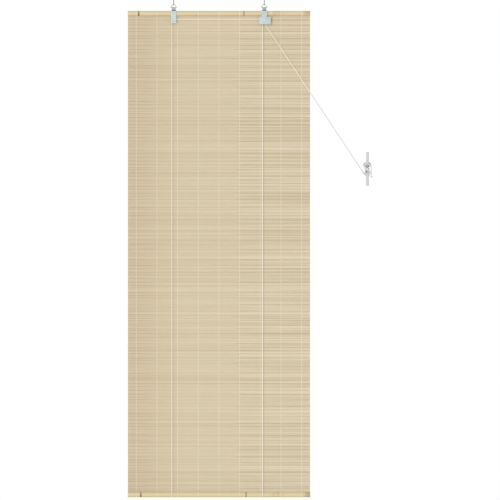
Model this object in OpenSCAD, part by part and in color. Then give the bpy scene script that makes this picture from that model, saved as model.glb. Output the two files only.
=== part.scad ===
// Bamboo roll up blind on two ceiling hooks, with cord lock, pull cord and wall cleat. Millimetres.
// The origin lies in the ceiling plane, midway between the screws of the two hooks.
// X runs along the rails, the room is towards -Y and Z points up.

/* [Blind] */
// width of the mat and the rails
mat_w = 600; // [460:10:800]
// height from the top edge to the bottom edge
mat_h = 1600; // [1200:10:2000]

/* [Reed mat] */
// thickness of the mat over its ridges
mat_t = 2; // [1.6:0.1:2.6]
// height of one ridge of reeds
reed_pitch = 4.5; // [4.2:0.1:8]
// depth of the groove between two ridges
groove_d = 0.5; // [0.2:0.1:0.6]
// height of a see-through gap between two ridges
gap_h = 0.9; // [0.5:0.1:1.4]
// ridges from one gap to the next
gap_every = 3; // [3:1:8]
// number of warp threads
warp_count = 9; // [5:2:9]
// distance from one warp thread to the next
warp_spacing = 68; // [56:1:72]
// width of a warp thread
warp_w = 1.6; // [1:0.1:2.4]
// thickness of a warp thread
warp_t = 0.5; // [0.3:0.1:0.8]

/* [Rails] */
// height of a split bamboo slat
slat_h = 17; // [14:0.5:18]
// thickness of a slat at its crown
slat_t = 5.5; // [4.5:0.1:6.5]
// radius of the bamboo stem that the slats are split from
stem_r = 16; // [13:0.5:24]
// distance from one bamboo node to the next
node_spacing = 346; // [300:1:380]
// distance of the head rail's first node from its left end
head_node_inset = 36; // [30:1:80]
// distance of the bottom rail's first node from its left end
foot_node_inset = 43; // [30:1:80]
// length of the ring at a node
node_w = 3; // [2:0.5:5]
// height of the ring at a node
node_rise = 0.4; // [0.2:0.1:0.6]

/* [Hanging] */
// distance between the two hooks
hang_spacing = 298; // [260:1:320]
// wire of the screw hooks
hook_wire = 3; // [2.5:0.1:3.4]
// radius of the hook's loop, at the middle of the wire
hook_loop_r = 5.5; // [5:0.1:7]
// radius of the bend above the loop, at the middle of the wire
hook_bend_r = 4; // [3:0.1:5]
// plain shank below the ceiling
hook_shank = 12; // [8:0.5:20]
// diameter of the screw
screw_d = 3.6; // [3.4:0.1:4.4]
// length of the screw with its point
screw_len = 20; // [14:1:30]
// wire of the hanging rings
ring_wire = 2; // [1.6:0.1:2.2]
// width of a hanging ring
ring_w = 21; // [20:0.5:26]
// height of a ring from its bar to its top, at the middle of the wire
ring_rise = 12.4; // [11:0.1:16]
// height of the ring's bar above the rail
bar_rise = 10.5; // [8:0.5:14]

/* [Brackets] */
// sheet of the left bracket and the straps
plate_t = 1.2; // [0.8:0.1:1.5]
// sheet of the lock cover
cover_t = 1; // [0.8:0.1:1.4]
// width of the left bracket and of the rear plates
bracket_w = 18.5; // [18:0.5:24]
// drop of the left bracket below the top edge
bracket_drop = 41; // [40:0.5:50]
// width of the strap over the rail
strap_w = 15; // [12:0.5:16]
// width of the loop around the ring's bar
loop_w = 12.6; // [9:0.2:13]
// drop of the rear plates below the top edge
rear_drop = 30; // [29:0.5:38]

/* [Lock] */
// width of the lock
lock_w = 38.5; // [38:0.5:48]
// distance of the lock's middle to the right of its neck
lock_shift = 2.5; // [0:0.5:3]
// drop of the lock below the top edge
lock_drop = 45; // [45:0.5:50]
// width of the neck over the rail
neck_w = 18.5; // [18:0.5:24]
// drop of the neck below the top edge
neck_h = 20; // [18.5:0.5:20.5]
// wall of the moulded core
cheek_t = 1.2; // [1:0.1:1.6]
// travel of the lock roller along its slots
roller_travel = 4; // [2:0.5:4]
// slope of the roller's slots
slot_angle = 60; // [50:1:70]

/* [Pulleys] */
// radius of a pulley over its flanges
pulley_r = 6.5; // [6:0.1:6.8]
// radius of the cord's run, at the middle of the cord
run_r = 5.5; // [5.2:0.1:5.8]
// width of a pulley
pulley_w = 3.6; // [3.4:0.1:4]
// diameter of the axles
axle_d = 4; // [3:0.1:4.4]
// depth of the axles below the top edge
axle_drop = 33.5; // [33:0.5:35]

/* [Cords] */
// diameter of the cords
cord_d = 2.4; // [2:0.1:2.4]

/* [Cleat] */
// place of the cleat to the right of the middle
cleat_x = 488; // [480:1:540]
// depth of the cleat's middle below the top edge
cleat_drop = 520; // [500:1:560]
// length of the cleat over its horns
cleat_len = 112; // [100:1:130]
// width of a horn
horn_w = 9.5; // [8:0.5:10]
// distance of the screw holes
cleat_holes = 20; // [18:0.5:21]
// diameter of the screw holes
cleat_hole_d = 4.2; // [3.4:0.1:4.6]

/* [Hidden] */
$fn = 48;
eps = 0.01;
// space between pieces that rest on each other
rest_gap = 0.2;
// space of pieces that slide past each other
slide_gap = 0.3;
// radial play of a wheel on its axle
run_fit = 0.05;
// radial play of a pin in its hole
pin_fit = 0.03;
// space between the mat and what lies in front of it
mat_clear = 0.4;
// inner radius of a fold in the sheet
fold_r = 1;
// corner radius of a bracket's plate
plate_corner = 1.5;
// slit between the two leaves of a strap
leaf_slit = 0.2;

// depths, counted from the middle of the mat
crown_y = mat_t / 2 + slat_t;
core_back_y = mat_t / 2 + warp_t + mat_clear;
run_y = core_back_y + cheek_t + rest_gap + pulley_w / 2;
front_run_y = run_y + pulley_w + rest_gap;
core_front_y = front_run_y + pulley_w / 2 + rest_gap + cheek_t;
plate_y = max(run_y + pulley_w / 2, crown_y) + rest_gap;
cover_y = core_front_y + rest_gap / 2;
rear_y = crown_y + rest_gap;
cord_r = cord_d / 2;

// heights and places
hang_x = hang_spacing / 2;
loop_z = -(hook_shank + hook_bend_r + hook_loop_r);
ring_top_z = loop_z - hook_loop_r + hook_wire / 2 + ring_wire / 2 + slide_gap;
top_z = ring_top_z - ring_rise - bar_rise;
rivet_z = -slat_h / 2;
run_z = -axle_drop + run_r;
left_cord_x = -hang_x - run_r;
right_cord_x = hang_x - run_r;
pull_x = hang_x + run_r;
head_node_x = -mat_w / 2 + head_node_inset;
foot_node_x = -mat_w / 2 + foot_node_inset;
// the rear slat comes from the next stem, so that its nodes lie further along
rear_node_shift = node_spacing / 4;

// reeds and gaps
reed_count = floor(mat_h / reed_pitch);
reed_step = mat_h / reed_count;
first_gap = ceil(slat_h / reed_step) + 2;
gap_count = min(118, floor((reed_count - 2 * first_gap) / gap_every));
gap_seed = 7;
gap_edge = 4;
gap_shares = rands(0, 1, 2 * 118, gap_seed);
left_gap_every = 4;

// the bight of a lift cord under the bottom rail
bight_r = 5;
bight_y = crown_y + cord_r + slide_gap;
bight_z = -mat_h - slide_gap - cord_r + bight_r;

// the tie of a lift cord behind a bracket
tie_y = rear_y + plate_t + cord_r + slide_gap;
tie_r = 5;
tie_z = -rear_drop + 3;
knot_r = 2.2;
slot_w = 3.4;
slot_top = tie_z + tie_r + cord_r + 1;
slot_foot = tie_z + 0.6;

// pieces of the lock, counted from the lock's middle
lock_fit = 0.1;
cavity_wall = 2.4;
cavity_top = -axle_drop + pulley_r + 2.5;
roller_r = 2.5;
roller_pin_r = 1.2;
roller_x = run_r + cord_r + slide_gap + roller_r;
roller_z = -axle_drop + 1.5;
guide_r = 3.7;
guide_pin_r = 1.5;
guide_x = run_r + cord_r + 0.4 + rest_gap + guide_r;
guide_z = -lock_drop + 0.8 + guide_r;
joiner_wall = 0.4;
joiner_top = -axle_drop - 6;
joiner_foot = joiner_top - 5;
joiner_y = (run_y + front_run_y) / 2;

// the cleat, its depths counted from the middle of the mat
wall_y = 13;
cleat_front_y = -7;
horn_back_y = -0.5;
post_w = 12;
post_h = 33;
throat_r = 4;
horn_corner = 3.8;

// the pull cord: its lead out of the lock and its hitch around the cleat's middle
lead = [[0, 0], [0, -3], [1.2, -6.2]];
hitch = [
  [-14.5, 1.5, -10], [-10, 5.4, -17], [-5, 8.6, -20.8], [0.5, 9.4, -21.4], [5.8, 7.2, -20],
  [9, 2.4, -15.6], [9.2, -3.6, -10.6], [7.6, -8.2, -7.6], [4.2, -9.2, -4.2], [0, -8.9, 0],
  [-4.2, -9.2, 4.2], [-7.6, -8.2, 7.6], [-9, -4, 10.6], [-9, 1.4, 15], [-6, 6.6, 18.6],
  [0, 9, 19.2], [6, 6.6, 18.6], [9, 1.4, 15], [9, -4, 10.6], [7.6, -8.4, 7.6],
  [4.4, -10.6, 4.6], [0, -11.8, 0], [-4.4, -10.6, -4.6], [-7.8, -8.4, -8], [-9.2, -4, -11.6],
  [-9, -0.4, -15.2], [-6.2, 3.6, -18.6], [0, 5.4, -18.8], [5.8, 3.4, -18.6], [8.8, -1.2, -16.4],
  [9, -5.6, -13.6], [6.6, -9.2, -11.2], [2.6, -11.8, -7.2], [-2.6, -14.4, -2], [-6.8, -12, 2.6],
  [-10.2, -8, 6], [-12, -2.6, 10.4], [-11.6, 2.8, 16], [-7.6, 5.8, 21], [-2, 6.6, 22.6],
  [3, 6.4, 22.4], [8.4, 4.6, 20.4], [11.9, 1.2, 15], [12.6, -0.6, 7], [13, -0.8, -2],
  [13.6, -0.4, -14], [14, 0, -26]
];
pull_route = concat(
  [for (p = lead) [pull_x + p[0], -joiner_y, joiner_foot + p[1]]],
  [for (p = hitch) [cleat_x + p[0], p[1], -cleat_drop + p[2]]]
);

function unit(v) = v / norm(v);

// direction of a route at point i, halved between its two neighbours
function heading(p, i) =
  unit(unit(p[min(i + 1, len(p) - 1)] - p[min(i, len(p) - 2)])
    + unit(p[max(i, 1)] - p[max(i - 1, 0)]));

function flattened(v, t) = unit(v - (v * t) * t);

// a side direction carried along a route without twist
function sides(p) =
  [for (i = 0, s = flattened([0, 1, 0], heading(p, 0)); i < len(p);
    i = i + 1, s = i < len(p) ? flattened(s, heading(p, i)) : s) s];

// a round cord along a route
module tube(p, r, n) {
  s = sides(p);
  points = [for (i = [0:len(p) - 1]) let (t = heading(p, i), u = cross(t, s[i]))
    for (k = [0:n - 1]) p[i] + r * (cos(360 * k / n) * s[i] + sin(360 * k / n) * u)];
  skin = [for (i = [0:len(p) - 2], k = [0:n - 1])
    let (a = i * n + k, b = i * n + (k + 1) % n)
    each [[a, b + n, b], [a, a + n, b + n]]];
  foot = [[for (k = [0:n - 1]) k]];
  head = [[for (k = [n - 1:-1:0]) (len(p) - 1) * n + k]];
  polyhedron(points, concat(skin, foot, head));
}

// places children in the blind's own frame: middle of the mat, top edge
module on_blind() {
  translate([0, hook_bend_r, top_z]) children();
}

// extrudes a Y-Z outline along X
module along_x(x, length) {
  translate([x, 0, 0]) rotate([90, 0, 90]) linear_extrude(length) children();
}

// extrudes an X-Z outline from a depth y towards the room
module towards_room(y, depth) {
  translate([0, y, 0]) rotate([90, 0, 0]) linear_extrude(depth) children();
}

// a pin from a depth y towards the room
module pin(x, y, z, r, length) {
  translate([x, y, z]) rotate([90, 0, 0]) cylinder(h = length, r = r);
}

// a bent piece of wire around the origin, in the X-Y plane
module bent(bend_r, wire_r, from, to) {
  rotate([0, 0, from]) rotate_extrude(angle = to - from) translate([bend_r, 0]) circle(wire_r);
}

// a straight rod between two points
module rod(from, to, r) {
  v = to - from;
  translate(from)
    rotate([0, acos(v[2] / norm(v)), atan2(v[1], v[0])])
      cylinder(h = norm(v), r = r);
}

// a rectangle with rounded corners between two corners
module rounded(low, high, r) {
  for (x = [low[0] + r, high[0] - r], y = [low[1] + r, high[1] - r])
    translate([x, y]) circle(r);
  translate([low[0] + r, low[1]]) square([high[0] - low[0] - 2 * r, high[1] - low[1]]);
  translate([low[0], low[1] + r]) square([high[0] - low[0], high[1] - low[1] - 2 * r]);
}

// section of a split bamboo slat below its upper edge, grown outwards
module slat_section(side, grow) {
  intersection() {
    translate([side * (crown_y - stem_r), -slat_h / 2]) circle(stem_r + grow);
    translate([side > 0 ? mat_t / 2 : -crown_y - grow, -slat_h - grow])
      square([slat_t + grow, slat_h + 2 * grow]);
  }
}

// a slat with the rings of its nodes, from first_x along the rail
module slat(side, first_x) {
  along_x(-mat_w / 2, mat_w) slat_section(side, 0);
  for (x = [first_x, first_x + node_spacing])
    along_x(x - node_w / 2, node_w) slat_section(side, node_rise);
}

module rail_holes() {
  for (x = [-hang_x, hang_x])
    pin(x, crown_y + 1, rivet_z, rivet_r() + pin_fit, 2 * crown_y + 2);
}

function rivet_r() = 1.5;

function ridge(i) = -i * reed_step;

// outline of the reed mat: a groove and a flat crest for each ridge, on both faces
module mat_section() {
  crest = mat_t / 2;
  root = crest - groove_d;
  face = [for (i = [0:reed_count - 1]) each [
    [root, ridge(i)], [crest, ridge(i + 0.25)], [crest, ridge(i + 0.75)]
  ]];
  low = [[root, ridge(reed_count)], [-root, ridge(reed_count)]];
  back = [for (i = [len(face) - 1:-1:0]) [-face[i][0], face[i][1]]];
  polygon(concat(face, low, back));
}

// a gap between two ridges: most in the right third, some at the left edge
module mat_gap(k) {
  share = gap_shares[2 * k];
  z = ridge(first_gap + gap_every * k + floor(gap_shares[2 * k + 1] * 2));
  at_left = k % left_gap_every == 0;
  x = at_left ? -mat_w / 2 + gap_edge : mat_w * (0.07 + 0.12 * share);
  length = at_left ? mat_w * (0.05 + 0.1 * share) : mat_w / 2 - gap_edge - x;
  translate([x, -mat_t, z - gap_h / 2]) cube([length, 2 * mat_t, gap_h]);
}

module reed_mat() {
  color([0.84, 0.78, 0.66]) on_blind() difference() {
    along_x(-mat_w / 2, mat_w) mat_section();
    for (k = [0:gap_count - 1]) mat_gap(k);
    rail_holes();
  }
}

// section through both rails and the mat, grown outwards
module blind_section(over_rail, over_mat) {
  for (side = [-1, 1], z = [0, slat_h - mat_h])
    translate([0, z]) slat_section(side, over_rail);
  translate([-mat_t / 2 - over_mat, -mat_h - over_rail])
    square([mat_t + 2 * over_mat, mat_h + 2 * over_rail]);
}

module warp_threads() {
  color([0.9, 0.86, 0.76]) on_blind()
    for (k = [0:warp_count - 1])
      along_x((k - (warp_count - 1) / 2) * warp_spacing - warp_w / 2, warp_w)
        difference() {
          blind_section(rest_gap + warp_t, warp_t);
          blind_section(rest_gap, 0);
        }
}

module head_slat_front() {
  color([0.86, 0.77, 0.58]) on_blind() difference() {
    slat(-1, head_node_x);
    rail_holes();
  }
}

module head_slat_rear() {
  color([0.82, 0.72, 0.53]) on_blind() difference() {
    slat(1, head_node_x + rear_node_shift);
    rail_holes();
  }
}

module bottom_slat_front() {
  color([0.86, 0.77, 0.58]) on_blind() translate([0, 0, slat_h - mat_h]) slat(-1, foot_node_x);
}

module bottom_slat_rear() {
  color([0.82, 0.72, 0.53]) on_blind() translate([0, 0, slat_h - mat_h])
    slat(1, foot_node_x + rear_node_shift);
}

// a quarter of a fold, its open side turned by angle
module fold(y, z, t, angle) {
  translate([y, z]) rotate(angle) difference() {
    intersection() {
      circle(fold_r + t);
      square(fold_r + t);
    }
    circle(fold_r);
  }
}

// Y-Z section of a strap over the rail, from the front plate's inner face to the rear plate's
module strap_section(front_y, t) {
  top = rest_gap;
  fold(-front_y + fold_r, top - fold_r, t, 90);
  fold(rear_y - fold_r, top - fold_r, t, 0);
  translate([-front_y + fold_r, top]) square([front_y + rear_y - 2 * fold_r, t]);
}

// Y-Z section of the loop around the ring's bar, on its two leaves
module loop_section(t) {
  hole_r = ring_wire / 2 + slide_gap;
  difference() {
    union() {
      translate([0, bar_rise]) circle(hole_r + t);
      translate([-t - leaf_slit / 2, rest_gap]) square([2 * t + leaf_slit, bar_rise - rest_gap]);
    }
    translate([0, bar_rise]) circle(hole_r);
  }
}

// strap, loop and rear plate of a bracket, around x = 0
module strap(front_y, t) {
  difference() {
    union() {
      along_x(-strap_w / 2, strap_w) strap_section(front_y, t);
      along_x(-loop_w / 2, loop_w) loop_section(t);
      towards_room(rear_y + t, t)
        rounded([-bracket_w / 2, -rear_drop], [bracket_w / 2, rest_gap - fold_r], plate_corner);
    }
    translate([-strap_w, -leaf_slit / 2, -1]) cube([2 * strap_w, leaf_slit, bar_rise + 1]);
    pin(0, rear_y + t + 1, rivet_z, rivet_r() + pin_fit, t + 2);
    towards_room(rear_y + t + 1, t + 2)
      rounded([-run_r - slot_w / 2, slot_foot], [-run_r + slot_w / 2, slot_top], slot_w / 2 - eps);
  }
}

module left_bracket() {
  color([0.8, 0.83, 0.81]) on_blind() translate([-hang_x, 0, 0]) {
    strap(plate_y, plate_t);
    difference() {
      towards_room(-plate_y, plate_t)
        rounded([-bracket_w / 2, -bracket_drop], [bracket_w / 2, rest_gap - fold_r], plate_corner);
      pin(0, -plate_y + 1, rivet_z, rivet_r() + pin_fit, plate_t + 2);
      pin(0, -plate_y + 1, -axle_drop, axle_d / 2 + pin_fit, plate_t + 2);
    }
  }
}

// a rivet from the rear face back to the front face, both counted as depths
module rail_rivet(front, back) {
  head_r = 2.8;
  head_h = 0.8;
  pin(0, back, rivet_z, rivet_r(), front + back);
  translate([0, -front, rivet_z]) rotate([90, 0, 0]) cylinder(h = head_h, r1 = head_r, r2 = 1.8);
  translate([0, back, rivet_z]) rotate([-90, 0, 0]) cylinder(h = head_h, r1 = head_r, r2 = 1.8);
}

module left_rail_rivet() {
  color([0.72, 0.74, 0.74]) on_blind() translate([-hang_x, 0, 0])
    rail_rivet(plate_y + plate_t, rear_y + plate_t);
}

module right_rail_rivet() {
  color([0.72, 0.74, 0.74]) on_blind() translate([hang_x, 0, 0])
    rail_rivet(cover_y + cover_t, rear_y + plate_t);
}

module left_axle() {
  head_r = 3.4;
  head_h = 1;
  back = run_y - pulley_w / 2 - rest_gap;
  color([0.66, 0.68, 0.68]) on_blind() translate([-hang_x, 0, -axle_drop]) {
    pin(0, -back, 0, axle_d / 2, plate_y + plate_t - back);
    pin(0, -back + 0.7, 0, 3, 0.7);
    translate([0, -plate_y - plate_t, 0]) rotate([90, 0, 0])
      cylinder(h = head_h, r1 = head_r, r2 = 2.4);
  }
}

// a grooved wheel on a Y axis, its middle at depth y
module pulley(y) {
  root_r = run_r - cord_r - slide_gap;
  half = pulley_w / 2;
  translate([0, -y, -axle_drop]) rotate([90, 0, 0]) rotate_extrude()
    polygon([
      [axle_d / 2 + run_fit, -half], [pulley_r, -half], [pulley_r, -half + 0.2],
      [root_r, -cord_r - 0.1], [root_r, cord_r + 0.1], [pulley_r, half - 0.2], [pulley_r, half],
      [axle_d / 2 + run_fit, half]
    ]);
}

module left_pulley() {
  color([0.88, 0.88, 0.86]) on_blind() translate([-hang_x, 0, 0]) pulley(run_y);
}

module rear_lock_pulley() {
  color([0.88, 0.88, 0.86]) on_blind() translate([hang_x, 0, 0]) pulley(run_y);
}

module front_lock_pulley() {
  color([0.88, 0.88, 0.86]) on_blind() translate([hang_x, 0, 0]) pulley(front_run_y);
}

// a hole for the cross cord through the left wall of the lock
module cross_hole(r) {
  translate([-lock_w, -run_y, run_z]) rotate([0, 90, 0]) cylinder(h = lock_w, r = r);
}

module lock_cover() {
  corner = 2.5;
  left = lock_shift - lock_w / 2;
  right = lock_shift + lock_w / 2;
  inset = neck_w / 2 + 1;
  reach = cover_y + cover_t - core_back_y - rest_gap;
  color([0.8, 0.84, 0.83]) on_blind() translate([hang_x, 0, 0]) {
    strap(cover_y, cover_t);
    difference() {
      union() {
        towards_room(-cover_y, cover_t) {
          rounded([left, -lock_drop], [right, -neck_h], corner);
          rounded([-neck_w / 2, -neck_h - corner], [neck_w / 2, rest_gap - fold_r], 1);
        }
        for (x = [left, right - cover_t])
          translate([x, -cover_y - cover_t, -lock_drop + corner])
            cube([cover_t, reach, lock_drop - neck_h - 2 * corner]);
        for (ledge = [[left + corner, -inset], [inset, right - corner]])
          translate([ledge[0], -cover_y - cover_t, -neck_h - cover_t])
            cube([ledge[1] - ledge[0], reach, cover_t]);
      }
      pin(0, -cover_y + 1, rivet_z, rivet_r() + pin_fit, cover_t + 2);
      cross_hole(cord_r + 1);
    }
  }
}

// a slot in the cheeks of the core for the pins of the lock roller
module roller_slot() {
  play = roller_pin_r + slide_gap;
  towards_room(-core_back_y + 1, core_front_y - core_back_y + 2)
    translate([roller_x, roller_z]) rotate(slot_angle) {
      circle(play);
      translate([roller_travel, 0]) circle(play);
      translate([0, -play]) square([roller_travel, 2 * play]);
    }
}

module lock_core() {
  half = lock_w / 2 - cover_t - lock_fit;
  top = -neck_h - cover_t - lock_fit;
  foot = -lock_drop + 0.5;
  tongue = neck_w / 2 - 0.6;
  depth = core_front_y - core_back_y;
  color([0.9, 0.9, 0.87]) on_blind() translate([hang_x, 0, 0]) difference() {
    union() {
      towards_room(-core_back_y, depth) rounded([lock_shift - half, foot], [lock_shift + half, top], 2);
      towards_room(-crown_y - rest_gap, core_front_y - crown_y - rest_gap)
        rounded([-tongue, top - 3], [tongue, -0.6], 1);
    }
    translate([lock_shift - half + cavity_wall, -core_front_y + cheek_t, foot - 1])
      cube([2 * (half - cavity_wall), depth - 2 * cheek_t, cavity_top - foot + 1]);
    pin(0, 1, -axle_drop, axle_d / 2 + pin_fit, core_front_y + 2);
    pin(guide_x, 1, guide_z, guide_pin_r + pin_fit, core_front_y + 2);
    pin(0, 1, rivet_z, rivet_r() + pin_fit, core_front_y + 2);
    cross_hole(cord_r + 0.8);
    roller_slot();
  }
}

module lock_axle() {
  color([0.66, 0.68, 0.68]) on_blind()
    pin(hang_x, -core_back_y, -axle_drop, axle_d / 2, core_front_y - core_back_y);
}

module lock_roller() {
  back = core_back_y + cheek_t + slide_gap;
  front = core_front_y - cheek_t - slide_gap;
  color([0.7, 0.71, 0.7]) on_blind() translate([hang_x, 0, 0]) {
    pin(roller_x, -back, roller_z, roller_r, front - back);
    pin(roller_x, -core_back_y - rest_gap, roller_z, roller_pin_r,
      core_front_y - core_back_y - 2 * rest_gap);
  }
}

module guide_bush() {
  back = core_back_y + cheek_t + rest_gap;
  front = core_front_y - cheek_t - rest_gap;
  color([0.86, 0.86, 0.83]) on_blind() translate([hang_x, 0, 0]) {
    pin(guide_x, -back, guide_z, guide_r, front - back);
    pin(guide_x, -core_back_y, guide_z, guide_pin_r, core_front_y - core_back_y);
  }
}

// a lift cord's rear run, with the knot that holds it behind its bracket
module rear_cord(x) {
  color([0.93, 0.9, 0.82]) on_blind() translate([x, 0, 0]) {
    rod([0, tie_y, bight_z], [0, tie_y, tie_z], cord_r);
    translate([0, tie_y - tie_r, tie_z]) rotate([90, 0, 90]) bent(tie_r, cord_r, 0, 90);
    translate([0, tie_y - tie_r, tie_z + tie_r]) sphere(knot_r);
  }
}

// a lift cord's bight under the bottom rail
module bight_cord(x, front) {
  back_y = tie_y - bight_r;
  front_y = -front + bight_r;
  color([0.93, 0.9, 0.82]) on_blind() translate([x, 0, bight_z]) {
    translate([0, back_y, 0]) rotate([90, 0, 90]) bent(bight_r, cord_r, -90, 0);
    translate([0, front_y, 0]) rotate([90, 0, 90]) bent(bight_r, cord_r, 180, 270);
    rod([0, front_y, -bight_r], [0, back_y, -bight_r], cord_r);
  }
}

// a lift cord's front run up to a pulley at depth y
module front_cord(x, y, front) {
  color([0.93, 0.9, 0.82]) on_blind()
    rod([x, -front, bight_z], [x, -y, -axle_drop], cord_r);
}

module left_rear_cord() {
  rear_cord(left_cord_x);
}

module right_rear_cord() {
  rear_cord(right_cord_x);
}

module left_bight_cord() {
  bight_cord(left_cord_x, bight_y);
}

module right_bight_cord() {
  bight_cord(right_cord_x, front_run_y);
}

module left_front_cord() {
  front_cord(left_cord_x, run_y, bight_y);
}

module right_front_cord() {
  front_cord(right_cord_x, front_run_y, front_run_y);
}

// a quarter of a cord's run over the pulley at x, seen from the room
module over_pulley(x, y, from, to) {
  translate([x, -y, -axle_drop]) rotate([90, 0, 0]) bent(run_r, cord_r, from, to);
}

module cross_cord() {
  color([0.93, 0.9, 0.82]) on_blind() {
    over_pulley(-hang_x, run_y, 90, 180);
    rod([-hang_x, -run_y, run_z], [hang_x, -run_y, run_z], cord_r);
    over_pulley(hang_x, run_y, 0, 90);
    rod([pull_x, -run_y, joiner_top], [pull_x, -run_y, -axle_drop], cord_r);
  }
}

module right_over_cord() {
  color([0.93, 0.9, 0.82]) on_blind() {
    over_pulley(hang_x, front_run_y, 0, 180);
    rod([pull_x, -front_run_y, joiner_top], [pull_x, -front_run_y, -axle_drop], cord_r);
  }
}

module cord_joiner() {
  half_x = cord_r + joiner_wall;
  half_y = (front_run_y - run_y) / 2;
  color([0.95, 0.94, 0.9]) on_blind()
    translate([pull_x, -joiner_y, joiner_foot]) linear_extrude(joiner_top - joiner_foot) {
      for (y = [-half_y, half_y]) translate([0, y]) circle(half_x);
      translate([-half_x, -half_y]) square([2 * half_x, 2 * half_y]);
    }
}

module pull_cord() {
  color([0.94, 0.93, 0.9]) on_blind() tube(pull_route, cord_r, 8);
}

// points of an arc in a plane, from one angle to another in n steps
function arc(middle, r, from, to, n) =
  [for (i = [0:n]) let (a = from + (to - from) * i / n) middle + r * [cos(a), sin(a)]];

// a closed wire along a flat route in the X-Y plane
module closed_wire(p, r, n) {
  count = len(p);
  points = [for (i = [0:count - 1])
    let (t = unit(unit(p[(i + 1) % count] - p[i]) + unit(p[i] - p[(i + count - 1) % count])))
    for (k = [0:n - 1]) let (a = 360 * k / n)
      [p[i][0] + r * cos(a) * t[1], p[i][1] - r * cos(a) * t[0], r * sin(a)]];
  skin = [for (i = [0:count - 1], k = [0:n - 1])
    let (j = (i + 1) % count, a = i * n + k, b = i * n + (k + 1) % n, c = j * n + k,
      d = j * n + (k + 1) % n)
    each [[a, b, d], [a, d, c]]];
  polyhedron(points, skin);
}

// a hanging ring in the X-Y plane, its bar on the X axis
module ring() {
  r = ring_wire / 2;
  corner_r = 1.5;
  apex_r = hook_wire / 2 + r + 0.2;
  low = [ring_w / 2 - r - corner_r, corner_r];
  high = [0, ring_rise - apex_r];
  turn = atan2(high[1] - low[1], high[0] - low[0]);
  side = turn - acos((corner_r - apex_r) / norm(high - low));
  closed_wire(concat(
    arc(low, corner_r, -90, side, 6),
    arc(high, apex_r, side, 180 - side, 8),
    arc([-low[0], low[1]], corner_r, 180 - side, 270, 6)
  ), r, 12);
}

module hanging_ring(x) {
  color([0.76, 0.77, 0.78]) on_blind() translate([x, 0, bar_rise]) rotate([90, 0, 0]) ring();
}

module left_ring() {
  hanging_ring(-hang_x);
}

module right_ring() {
  hanging_ring(hang_x);
}

// a screw hook below the ceiling plane, open towards the room
module screw_hook(x) {
  r = hook_wire / 2;
  tip = 165;
  point_len = 4;
  color([0.78, 0.79, 0.8]) translate([x, 0, 0]) {
    cylinder(h = screw_len - point_len, r = screw_d / 2);
    translate([0, 0, screw_len - point_len])
      cylinder(h = point_len, r1 = screw_d / 2, r2 = 0.3);
    translate([0, 0, -hook_shank]) cylinder(h = hook_shank, r = r);
    translate([0, hook_bend_r, -hook_shank]) rotate([90, 0, 90]) bent(hook_bend_r, r, 180, 270);
    translate([0, hook_bend_r, loop_z]) rotate([90, 0, 90]) bent(hook_loop_r, r, tip - 360, 90);
  }
}

module left_hook() {
  screw_hook(-hang_x);
}

module right_hook() {
  screw_hook(hang_x);
}

// Y-Z section of the cleat: post, two horns and their throats
module cleat_section() {
  half = cleat_len / 2;
  post = post_h / 2;
  tip_back = cleat_front_y + 3;
  translate([cleat_front_y, -post]) square([wall_y - cleat_front_y, 2 * post]);
  for (flip = [0, 1]) mirror([0, flip]) {
    polygon([
      [cleat_front_y, 0], [horn_back_y, 0], [horn_back_y, post + throat_r], [tip_back, half],
      [cleat_front_y - 1.5, half], [cleat_front_y, post + throat_r]
    ]);
    difference() {
      translate([horn_back_y, post]) square(throat_r);
      translate([horn_back_y + throat_r, post + throat_r]) circle(throat_r);
    }
  }
}

module cord_cleat() {
  half = cleat_len / 2;
  head_r = cleat_hole_d;
  color([0.85, 0.85, 0.85]) on_blind() translate([cleat_x, 0, -cleat_drop]) difference() {
    intersection() {
      along_x(-post_w, 2 * post_w) cleat_section();
      towards_room(wall_y + 1, wall_y - cleat_front_y + 4) {
        rounded([-horn_w / 2, -half], [horn_w / 2, half], horn_corner);
        rounded([-post_w / 2, -post_h / 2], [post_w / 2, post_h / 2], 1.5);
      }
    }
    for (z = [-cleat_holes / 2, cleat_holes / 2]) {
      pin(0, wall_y + 1, z, cleat_hole_d / 2, wall_y - cleat_front_y + 2);
      translate([0, cleat_front_y + head_r / 2, z]) rotate([90, 0, 0])
        cylinder(h = head_r / 2 + eps, r1 = cleat_hole_d / 2, r2 = head_r);
    }
  }
}

reed_mat();
warp_threads();
head_slat_front();
head_slat_rear();
bottom_slat_front();
bottom_slat_rear();
left_bracket();
left_rail_rivet();
left_axle();
left_pulley();
lock_cover();
lock_core();
right_rail_rivet();
lock_axle();
rear_lock_pulley();
front_lock_pulley();
lock_roller();
guide_bush();
left_rear_cord();
left_bight_cord();
left_front_cord();
cross_cord();
right_rear_cord();
right_bight_cord();
right_front_cord();
right_over_cord();
cord_joiner();
pull_cord();
left_ring();
right_ring();
left_hook();
right_hook();
cord_cleat();
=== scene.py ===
"""Dresses the bamboo roll up blind: reeds, warp threads, split bamboo rails, hardware and cords."""

import logging
import math
from dataclasses import dataclass
from enum import Enum
from typing import Any, Iterable, Sequence

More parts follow.
